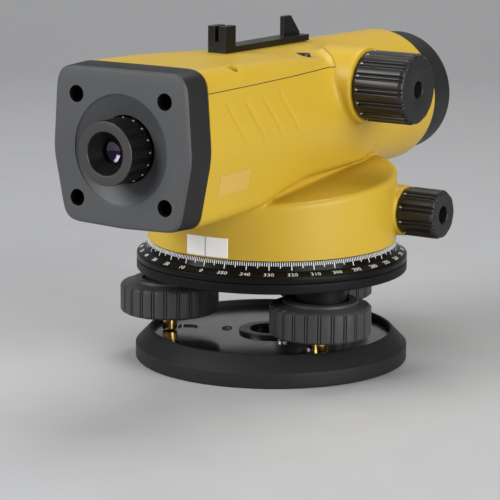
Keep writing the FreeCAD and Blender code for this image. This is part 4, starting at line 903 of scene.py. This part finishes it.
# ------------------------------------------------------------------- tribrach
tribrach = lathe("tribrach_skin", rounded([
    (9.0, 28.0), (15.6, 28.0, 0.6), (17.0, 30.0, 0.6), (17.0, 37.4, 1.0), (51.0, 37.4, 0.5),
    (51.2, 36.6, 0.1), (RIM_R, 36.6, 0.5), (RIM_R, 40.4, 0.35), (23.9, 40.4), (23.9, 46.4),
    (9.0, 46.4)]), ORIGIN, UP, RIM, 256)
for x, y in FEET:
    tribrach = boolean(tribrach, rod((x, y, 27.0), UP, 10.0, 14.2, 96), "UNION")
for x, y in FEET:
    tribrach = boolean(tribrach, rod((x, y, 26.0), UP, 5.0, 20.0))
tribrach = boolean(tribrach, solid_box(-70, 70, -70, 70, 20.0, 28.0))
finish_mesh(tribrach, RIM)

# Triangular mark on the rim, near -Y
MARK_ANGLE = math.atan2(-54.0, 2.2)
MARK = [(-1.5, 37.1), (1.5, 37.1), (0.0, 40.0)]   # distance round the rim, z
MARK_MID_Z = 38.2


def on_rim(along, z, radius):
    angle = MARK_ANGLE + along / RIM_R
    return (radius * math.cos(angle), radius * math.sin(angle), z)


mark_verts = [on_rim(t, z, RIM_R - 0.3) for t, z in MARK]
mark_verts += [on_rim(t * 0.75, MARK_MID_Z + (z - MARK_MID_Z) * 0.75, RIM_R - 0.02)
               for t, z in MARK]
mark = mesh_object("rim_mark", mark_verts, [
    (0, 2, 1), (3, 4, 5), (0, 1, 4, 3), (1, 2, 5, 4), (2, 0, 3, 5)], RIM, 20)
# The name is still taken here, so the joined piece gets a numbered one.
put(join("tribrach_skin", [tribrach, mark]), "tribrach", "black_casting", "tribrach_body")

# ----------------------------------------------------------- graduated circle
ZERO = -88.7                                # direction of the zero tick, degrees
TICK_LOW, TICK_HIGH = (50.3, 44.8), (49.0, 48.3)       # tick cone: radius, z
NUMERAL_LOW, NUMERAL_HIGH = (53.4, 43.2), (50.6, 44.58)   # numeral cone: radius, z

circle = lathe("circle_skin", rounded([
    (23.95, 43.6), (47.0, 43.6, 0.5), (49.5, 40.6, 0.4), (RIM_R, 40.6, 0.4),
    (RIM_R, 42.8, 0.35), (53.4, 43.2, 0.25), (50.55, 44.6, 0.12), (*TICK_LOW, 0.1),
    (*TICK_HIGH, 0.2), (46.2, 48.2, 0.3), (45.5, 45.8, 0.2), (23.95, 45.8)]),
    ORIGIN, UP, DIAL, 360)
put(circle, "circle", "black_plastic", "graduated_circle")


def tick_block(a0, a1, s0, s1, lift=0.04, depth=0.05):
    """Raised strip on the tick cone, between angles and shares of the slope from its top."""
    (r0, z0), (r1, z1) = TICK_HIGH, TICK_LOW
    out = np.array((z0 - z1, r1 - r0))
    out = out / np.hypot(*out)
    verts = []
    for offset in (-depth, lift):
        for s in (s0, s1):
            r = r0 + (r1 - r0) * s + out[0] * offset
            z = z0 + (z1 - z0) * s + out[1] * offset
            for a in (math.radians(a0), math.radians(a1)):
                verts.append((r * math.cos(a), r * math.sin(a), z))
    return verts, [(4, 5, 7, 6), (0, 1, 5, 4), (1, 3, 7, 5), (3, 2, 6, 7), (2, 0, 4, 6),
                   (0, 2, 3, 1)]


def gather(verts, faces, more_verts, more_faces):
    """Append one part's points and faces to growing lists."""
    start = len(verts)
    verts += more_verts
    faces += [tuple(i + start for i in f) for f in more_faces]


verts, faces = [], []
for degree in range(360):
    a = ZERO + degree
    reach = 0.90 if degree % 10 == 0 else (0.66 if degree % 5 == 0 else 0.46)
    half_width = math.degrees((0.19 if degree % 5 == 0 else 0.165) / 49.8)
    gather(verts, faces, *tick_block(a - half_width, a + half_width, 0.03, reach))
put(mesh_object("dial_ticks", verts, faces, WHITE_INK, 0), "circle", "white_marking")


def text_mesh(body):
    """Points and faces of a numeral laid flat."""
    curve = bpy.data.curves.new("numeral", "FONT")
    curve.body = body
    curve.size = 2.5
    curve.align_x = "CENTER"
    curve.align_y = "CENTER"
    curve.resolution_u = 3
    ob = link_object("numeral", curve)
    mesh = evaluated_mesh(ob)
    points = np.array([tuple(p.co) for p in mesh.vertices])
    polygons = [tuple(p.vertices) for p in mesh.polygons]
    bpy.data.objects.remove(ob)
    bpy.data.curves.remove(curve)
    bpy.data.meshes.remove(mesh)
    return points, polygons


def wrapped_numeral(points, degree, lift=0.05):
    """Lay flat numeral points on the numeral cone."""
    mid_x = (points[:, 0].max() + points[:, 0].min()) / 2
    mid_y = (points[:, 1].max() + points[:, 1].min()) / 2
    out = np.array((1.4, 2.9))
    out = out / np.hypot(*out)
    (r0, z0), (r1, z1) = NUMERAL_HIGH, NUMERAL_LOW
    verts = []
    for px, py, _ in points:
        s = 0.50 - (py - mid_y) / 3.05
        r = r0 + (r1 - r0) * s + out[0] * lift
        z = z0 + (z1 - z0) * s + out[1] * lift
        a = math.radians(ZERO + degree) + (px - mid_x) * 1.12 / 52.0
        verts.append((r * math.cos(a), r * math.sin(a), z))
    return verts


verts, faces = [], []
for degree in range(0, 360, 10):
    points, polygons = text_mesh(str((360 - degree) % 360))
    gather(verts, faces, wrapped_numeral(points, degree), polygons)
numerals = mesh_object("dial_numerals", verts, faces, WHITE_INK, 0)
thickness = numerals.modifiers.new("thickness", "SOLIDIFY")
thickness.thickness = 0.06 * MM
thickness.offset = 1.0
put(numerals, "circle", "white_marking")

# ------------------------------------------------------------- eyepiece cover
CAP_R = polar_table([   # x, z, corner rounding
    (-25.4, 68.7, 5.0), (0.0, 67.8, 60.0), (25.4, 68.7, 5.0), (30.7, 94.5, 22.0),
    (28.4, 126.0, 6.0), (-28.4, 126.0, 6.0), (-30.7, 94.5, 22.0)], 360)
CAP_BORE = [   # radius, y
    (12.4, -89.6), (12.4, -98.3), (12.55, -98.45), (12.9, -98.55), (20.15, -101.5),
    (20.3, -101.62), (20.38, -101.9), (20.5, -102.0)]
CAP_OUTSIDE = [   # offset from the cap outline, y
    (-6.0, -102.0), (-1.35, -102.0), (-1.0, -101.95), (-0.35, -101.4), (-0.05, -101.0),
    (0.05, -100.5), (0.62, -90.1), (0.55, -89.7), (0.3, -89.6), (-4.0, -89.6)]
CAP_BACK = (18.0, -89.6)   # radius, y
WELL = rounded([(0, 0), (3.25, 0), (3.25, 0.9), (2.95, 1.3), (2.95, 10.5), (0, 10.5)])
END_SCREWS = [(sx * END_SCREW_X, TUBE_Z + sz * END_SCREW_DZ)
              for sx in (1, -1) for sz in (1, -1)]

cap_angles = np.arange(360) * 2 * math.pi / 360
rings = [(np.full(360, r), y) for r, y in CAP_BORE]
rings += [(CAP_R + offset, y) for offset, y in CAP_OUTSIDE]
rings.append((np.full(360, CAP_BACK[0]), CAP_BACK[1]))
verts = [np.stack([r * np.cos(cap_angles), np.full(360, y),
                   TUBE_Z + r * np.sin(cap_angles)], 1) for r, y in rings]
faces = []
for j in range(len(rings)):
    row, next_row = j * 360, (j + 1) % len(rings) * 360
    for i in range(360):
        i2 = (i + 1) % 360
        faces.append((row + i, row + i2, next_row + i2, next_row + i))
cap = mesh_object("eyepiece_cover_skin", np.concatenate(verts), faces, GREY, 0)
for x, z in END_SCREWS:
    cap = boolean(cap, lathe("cutter", WELL, (x, -103.0, z), (0, 1, 0), GREY, 48))
finish_mesh(cap, GREY, 24)
cap.data.materials.append(GREY_SHADED_SIDE)
cap.data.materials.append(WELL_SHADE)
for face in cap.data.polygons:
    c = face.center / MM
    # Faces inside the screw wells take the near-black painted shade.
    to_screw = min(math.hypot(c.x - x, c.z - z) for x, z in END_SCREWS)
    # Side faces take the darker copy of the grey, painted shade beside the face's lighter
    # grey.
    on_side = abs(face.normal.y) < 0.45 and math.hypot(c.x, c.z - TUBE_Z) > 24.0
    if to_screw < 3.2 and c.y > -101.9:
        face.material_index = 2
    elif on_side and c.y > -101.2:
        face.material_index = 1
put(cap, "alidade", "grey_plastic", "eyepiece_cover")


def pips(name, radius, count, along, origin, axis, size, body):
    """Small moulded domes at one end of the grip ribs, `along` the axis from the origin, in a
    light grey that paints a highlight on each; the domes and their glossy coat are real.
    """
    u, v, w = basis(axis)
    rings, segments, stretch = 5, 12, 1.6
    made = []
    for k in range(count):
        a = 2 * math.pi * k / count
        out = math.cos(a) * u + math.sin(a) * v
        side = np.cross(w, out)
        centre = np.array(origin, float) + out * (radius - size * 0.25) + w * along
        verts, faces = [], []
        for i in range(rings + 1):
            t = math.pi * i / rings
            for j in range(segments):
                p = 2 * math.pi * j / segments
                around = math.cos(p) * side + stretch * math.sin(p) * w
                verts.append(centre + size * (math.sin(t) * around + math.cos(t) * out * 0.8))
        for i in range(rings):
            row, next_row = i * segments, (i + 1) * segments
            for j in range(segments):
                j2 = (j + 1) % segments
                faces.append((row + j, row + j2, next_row + j2, next_row + j))
        made.append(mesh_object("pip", verts, faces, PIP_HIGHLIGHT, 0))
    put(join(name, made), body, "black_plastic")


# --------------------------------------------------- dioptre ring and lenses
RING_AT = (0, -98.5, TUBE_Z)
RING_R, RING_RIBS = 11.9, 16
RING_GRIP = flute_pattern(RING_R, RING_RIBS, rib=0.22, groove=0.6, depth=0.5)
ring = lathe("dioptre_skin", rounded([
    (9.45, 7.7), (9.45, 0.0), (11.6, 0.0, 0.2), (RING_R, 0.5, 0.2, 0.4),
    (RING_R, 0.9, 0.1, 1), (RING_R, 11.6, 0.2, 1), (11.8, 12.0, 0.1, 0.3),
    (11.75, 12.55, 0.1), (11.45, 12.9, 0.15), (8.1, 12.9, 0.25), (7.9, 12.5, 0.1),
    (4.0, 8.9, 0.15), (3.8, 7.7)]), RING_AT, (0, -1, 0), DIAL, grip=RING_GRIP, sharp=28)
ring.data.materials.append(DIOPTRE_FACE)
for face in ring.data.polygons:
    c = face.center / MM
    if c.y < -110.95 and math.hypot(c.x, c.z - TUBE_Z) > 7.7:
        face.material_index = 1
put(ring, "dioptre", "black_plastic", "dioptre_ring")
pips("dioptre_pips", RING_R, RING_RIBS, 1.6, RING_AT, (0, -1, 0), 0.38, "dioptre")

LENS_BODY = next(body for body, names in frame["record"]["behaviour"]["bodies"].items()
                 if "eyepiece_lenses" in names)
DOME_R = 8.0
dome = [(DOME_R * math.sin(k * 0.0831), 2.65 - DOME_R * (1 - math.cos(k * 0.0831)))
        for k in range(10)]
LENSES = [   # y, outline
    (-104.1, dome + [(5.95, 0.0), (5.95, 3.0), (0, 3.2)]),
    (-99.0, [(0, 0.0), (3.0, 0.3), (5.95, 1.0), (5.95, 3.0), (3.0, 3.7), (0, 4.0)]),
    (-88.0, [(0, 0.0), (3.0, 0.2), (5.95, 0.7), (5.95, 2.4), (3.0, 2.8), (0, 3.0)])]
lenses = [lathe("lens", outline, (0, y, TUBE_Z), (0, 1, 0), EYE_GLASS, sharp=40)
          for y, outline in LENSES]
put(join("eyepiece_lens_skin", lenses), LENS_BODY, "clear_glass", "eyepiece_lenses")

# ------------------------------------------------- focusing and tangent knobs
FOCUS_AT = (34.0, FOCUS_Y, FOCUS_Z)
FOCUS_R, FOCUS_RIBS = 14.0, 16
FOCUS_GRIP = flute_pattern(FOCUS_R, FOCUS_RIBS, rib=0.36, groove=1.05, depth=0.95,
                           rib_drop=0.28)
focus_knob = lathe("focus_knob_skin", rounded([
    (2.5, 0), (12.9, 0, 0.3), (FOCUS_R, 1.0, 0.6, 0.5), (FOCUS_R, 2.0, 0.2, 1),
    (FOCUS_R, 20.3, 0.5, 1), (13.2, 21.6, 0.5, 0.6), (12.4, 22.0, 0.3), (3.6, 22.0, 0.25),
    (3.3, 21.6, 0.1), (3.3, 16.3), (2.5, 16.3)]),
    FOCUS_AT, (1, 0, 0), KNOB, grip=FOCUS_GRIP, sharp=28)
put(focus_knob, "focus_drive", "black_plastic", "focus_knob")
pips("focus_knob_pips", FOCUS_R, FOCUS_RIBS, 2.1, FOCUS_AT, (1, 0, 0), 0.42, "focus_drive")

TANGENT_R, TANGENT_RIBS = 9.7, 10
TANGENT_GRIP = flute_pattern(TANGENT_R, TANGENT_RIBS, rib=0.36, groove=1.15, depth=0.95,
                             rib_drop=0.28)
TANGENT_KNOB = rounded([
    (2.5, 0), (9.0, 0, 0.3), (TANGENT_R, 0.7, 0.4, 0.5), (TANGENT_R, 1.5, 0.2, 1),
    (TANGENT_R, 14.6, 0.4, 1), (9.0, 15.6, 0.4, 0.6), (8.3, 15.9, 0.3), (3.7, 15.9, 0.25),
    (3.4, 15.5, 0.1), (3.4, 11.0), (2.5, 11.0)])
for side, sign in (("right", 1), ("left", -1)):
    place, axis = (sign * 49.1, TANGENT_Y, TANGENT_Z), (sign, 0, 0)
    knob = lathe("tangent_knob_%s_skin" % side, TANGENT_KNOB, place, axis, KNOB,
                 grip=TANGENT_GRIP, sharp=28)
    put(knob, "tangent_screw", "black_plastic", "tangent_knobs")
    pips("tangent_pips_%s" % side, TANGENT_R, TANGENT_RIBS, 1.6, place, axis, 0.42,
         "tangent_screw")


# --------------------------------------------------------------- index window
def curved_plate(name, x0, x1, z0, z1, r0, r1, material, nx, nz):
    """Plate bent round the vertical axis on the -Y side, between radii r0 and r1."""
    a0, a1 = math.asin(x0 / r1), math.asin(x1 / r1)
    verts = []
    for r in (r0, r1):
        for i in range(nx + 1):
            a = a0 + (a1 - a0) * i / nx
            for j in range(nz + 1):
                z = z0 + (z1 - z0) * j / nz
                verts.append((r * math.sin(a), -r * math.cos(a), z))
    return mesh_object(name, verts, slab_faces(nx, nz), material, 30)


window = curved_plate("index_window_skin", -7.3, 11.0, 49.1, 56.7, 49.2, 49.74, WINDOW,
                      nx=24, nz=4)
add_bevel(window, 0.12)
put(window, "alidade", "white_marking", "index_window")
index_line = curved_plate("index_line", 1.40, 1.66, 49.15, 56.65, 49.6, 49.765, BLACK_INK,
                          nx=2, nz=2)
put(index_line, "alidade", "white_marking")

# ------------------------------------------------------------- objective hood
STEPPED_BORE = [p for k in range(7) for p in ((20.7 - 0.22 * k, 16.6 - 2 * k, 0.05),
                                              (20.2 - 0.22 * k, 16.0 - 2 * k, 0.05))]
hood = lathe("objective_hood_skin", rounded([
    (18.8, -9.0), (20.95, -9.0), (20.95, 0.0), (25.0, 0.0, 0.2), (25.3, 0.5, 0.3),
    (25.3, 17.0, 1.5), (23.7, 19.5, 0.5), (22.2, 19.5, 0.3), (20.8, 18.2, 0.2),
    *STEPPED_BORE, (18.8, 3.0)]),
    (0, TUBE_END_Y + 0.05, TUBE_Z), (0, 1, 0), HOOD, 192, sharp=30)
put(hood, "alidade", "black_plastic", "objective_hood")

# ------------------------------------------------------------- circular level
VIAL_AT = (VIAL_X, VIAL_Y, VIAL_Z)
cup = lathe("vial_cup_skin", rounded([
    (0, 0), (8.5, 0, 0.3), (8.5, 8.0, 0.4), (8.0, 8.4, 0.2), (7.0, 8.4, 0.15), (7.0, 2.0),
    (0, 2.0)]), VIAL_AT, UP, BLACK, 96)
put(cup, "alidade", "black_plastic", "level_vial_cup")
vial = lathe("vial_glass_skin", [
    (0, 2.02), (6.9, 2.02), (6.9, 7.9), (6.7, 8.2), (5.5, 8.7), (3.0, 9.08), (0, 9.2)],
    VIAL_AT, UP, VIAL, 96)
put(vial, "alidade", "vial_glass", "level_vial_glass")
bubble = lathe("vial_bubble", rounded([
    (0, 7.2), (1.6, 7.4, 0.3), (2.1, 8.2, 0.4), (1.5, 8.85, 0.3), (0, 8.95)]),
    VIAL_AT, UP, BUBBLE, 48)
put(bubble, "alidade", "vial_glass")
vial_ring = lathe("vial_ring", [(2.55, 9.0), (2.75, 8.98), (2.75, 9.13), (2.55, 9.15)],
                  VIAL_AT, UP, BLACK_INK)
put(vial_ring, "alidade", "white_marking")


# ----------------------------------------------------------- blank side label
def skin_patch(name, y0, y1, z0, z1, lift, material, ny=40, nz=20):
    """Thin sheet laid on the right side of the casing."""
    ys, zs = np.meshgrid(np.linspace(y0, y1, ny + 1), np.linspace(z0, z1, nz + 1),
                         indexing="ij")
    x = np.full(ys.shape, 31.0)
    for _ in range(12):   # step onto the casing surface
        x = x - outer_field(x.ravel(), ys.ravel(), zs.ravel()).reshape(x.shape)
    verts = np.concatenate([np.stack([x + offset, ys, zs], -1).reshape(-1, 3)
                            for offset in (-0.15, lift)])
    return mesh_object(name, verts, slab_faces(ny, nz), material, 30)


label = skin_patch("side_label", -81.2, -60.8, 79.6, 87.2, 0.07, LABEL)
put(label, "alidade", "yellow_paint")

# -------------------------------------------------- finishes on the CAD pieces
FINISHES = [
    (STEEL, "foot_spindle_left foot_spindle_right foot_spindle_rear vertical_axis "
            "slip_spring axis_nut tangent_shaft reticle_screws focus_shaft suspension_wires"),
    (BRASS, "foot_screw_nuts worm_wheel axis_bearing tangent_bushes focus_slider focus_bush"),
    (RUBBER, "circle_friction_ring"),
    (DARK_STEEL, "top_cover_screws eyepiece_cover_screws casing_base_screws "
                 "damping_magnets"),
    (ALU, "casing_base_plate compensator_frame compensator_pendulum"),
    (ANODISED, "eyepiece_tube eyepiece_cell reticle_cell objective_cell "
               "objective_retainer focus_tube"),
    (EYE_GLASS, "eyepiece_lenses"),
    (GLASS, "reticle_glass objective_lens focus_lens compensator_prism"),
    (BLACK, "level_mirror_bracket peep_sight"),
    (MIRROR, "level_mirror"),
]
# A piece that the frame does not hold is passed over.
for material, names in FINISHES:
    for name in names.split():
        ob = NODES.get(name)
        if ob is not None:
            ob.data.materials.clear()
            ob.data.materials.append(material)
for name in ("peep_sight", "level_mirror_bracket", "level_mirror"):
    ob = NODES.get(name)
    if ob is not None:
        bevel = add_bevel(ob, 0.35)
        bevel.limit_method = "ANGLE"
        bevel.angle_limit = math.radians(40)

# --------------------------------------------------------------------- camera
HEADING = math.radians(33.02)   # from +Y towards -X
PITCH = math.radians(11.62)     # downwards
ROLL = math.radians(0.37)
level = Vector((-math.sin(HEADING), math.cos(HEADING), 0))
forward = level * math.cos(PITCH) + Vector((0, 0, -math.sin(PITCH)))
right = level.cross(Vector((0, 0, 1)))
above = right.cross(forward)
camera = bpy.data.cameras.new("camera")
camera_ob = link_object("camera", camera)
camera.sensor_fit = "HORIZONTAL"
camera.sensor_width = 36.0
camera.lens = 166.2372
camera.clip_end = 20.0
camera.clip_start = 0.02
pose = Matrix((right * math.cos(ROLL) + above * math.sin(ROLL),
               -right * math.sin(ROLL) + above * math.cos(ROLL),
               -forward)).transposed().to_4x4()
pose.translation = Vector((486.0, -763.8, 229.0)) * MM
camera_ob.matrix_world = pose
scene.camera = camera_ob

# ---------------------------------------------------------------- floor sweep
# Flat floor curving up into a wall, metres, along the camera's level direction.
FLOOR_END, SWEEP_R = 0.9, 0.8
profile = [(-3.0, 0.0), (FLOOR_END, 0.0)]   # distance, height
for k in range(1, 13):
    t = math.pi / 2 * k / 12
    profile.append((FLOOR_END + SWEEP_R * math.sin(t), SWEEP_R * (1 - math.cos(t))))
profile.append((FLOOR_END + SWEEP_R, 4.0))
verts = []
for aside in (-4.0, 4.0):
    for distance, height in profile:
        p = level * distance + right * aside
        verts.append((p.x, p.y, height - 0.0002))
n = len(profile)
mesh = bpy.data.meshes.new("floor_sweep")
mesh.from_pydata(verts, [], [(i, i + 1, n + i + 1, n + i) for i in range(n - 1)])
mesh.update()
mesh.materials.append(FLOOR)
floor = link_object("floor_sweep", mesh)
mesh.shade_smooth()

# --------------------------------------------------------------------- lights
AIM_Z = 0.07   # metres


def soft_box(name, azimuth, elevation, distance, size, power, color=(1, 1, 1)):
    """Area light at degrees to the right of the camera side and above the floor."""
    light = bpy.data.lights.new(name, "AREA")
    light.energy = power
    light.color = color
    light.size = size
    ob = link_object(name, light)
    a, e = math.radians(azimuth), math.radians(elevation)
    p = (right * math.sin(a) - level * math.cos(a)) * distance * math.cos(e)
    place = Vector((p.x, p.y, AIM_Z + distance * math.sin(e)))
    ob.location = place
    ob.rotation_euler = (Vector((0, 0, AIM_Z)) - place).to_track_quat("-Z", "Y").to_euler()


soft_box("right_box", azimuth=45, elevation=14, distance=1.3, size=1.0, power=18.5,
         color=(1.0, 0.995, 0.98))
soft_box("left_box", azimuth=-62, elevation=30, distance=1.3, size=0.75, power=16.0,
         color=(0.97, 0.985, 1.0))
soft_box("top_box", azimuth=160, elevation=68, distance=1.4, size=0.8, power=9.5)
world = bpy.data.worlds.new("world")
scene.world = world
world.use_nodes = True
background = world.node_tree.nodes["Background"]
background.inputs["Color"].default_value = (0.75, 0.77, 0.80, 1)
background.inputs["Strength"].default_value = 0.20
scene.view_settings.view_transform = "Standard"
scene.view_settings.look = "None"
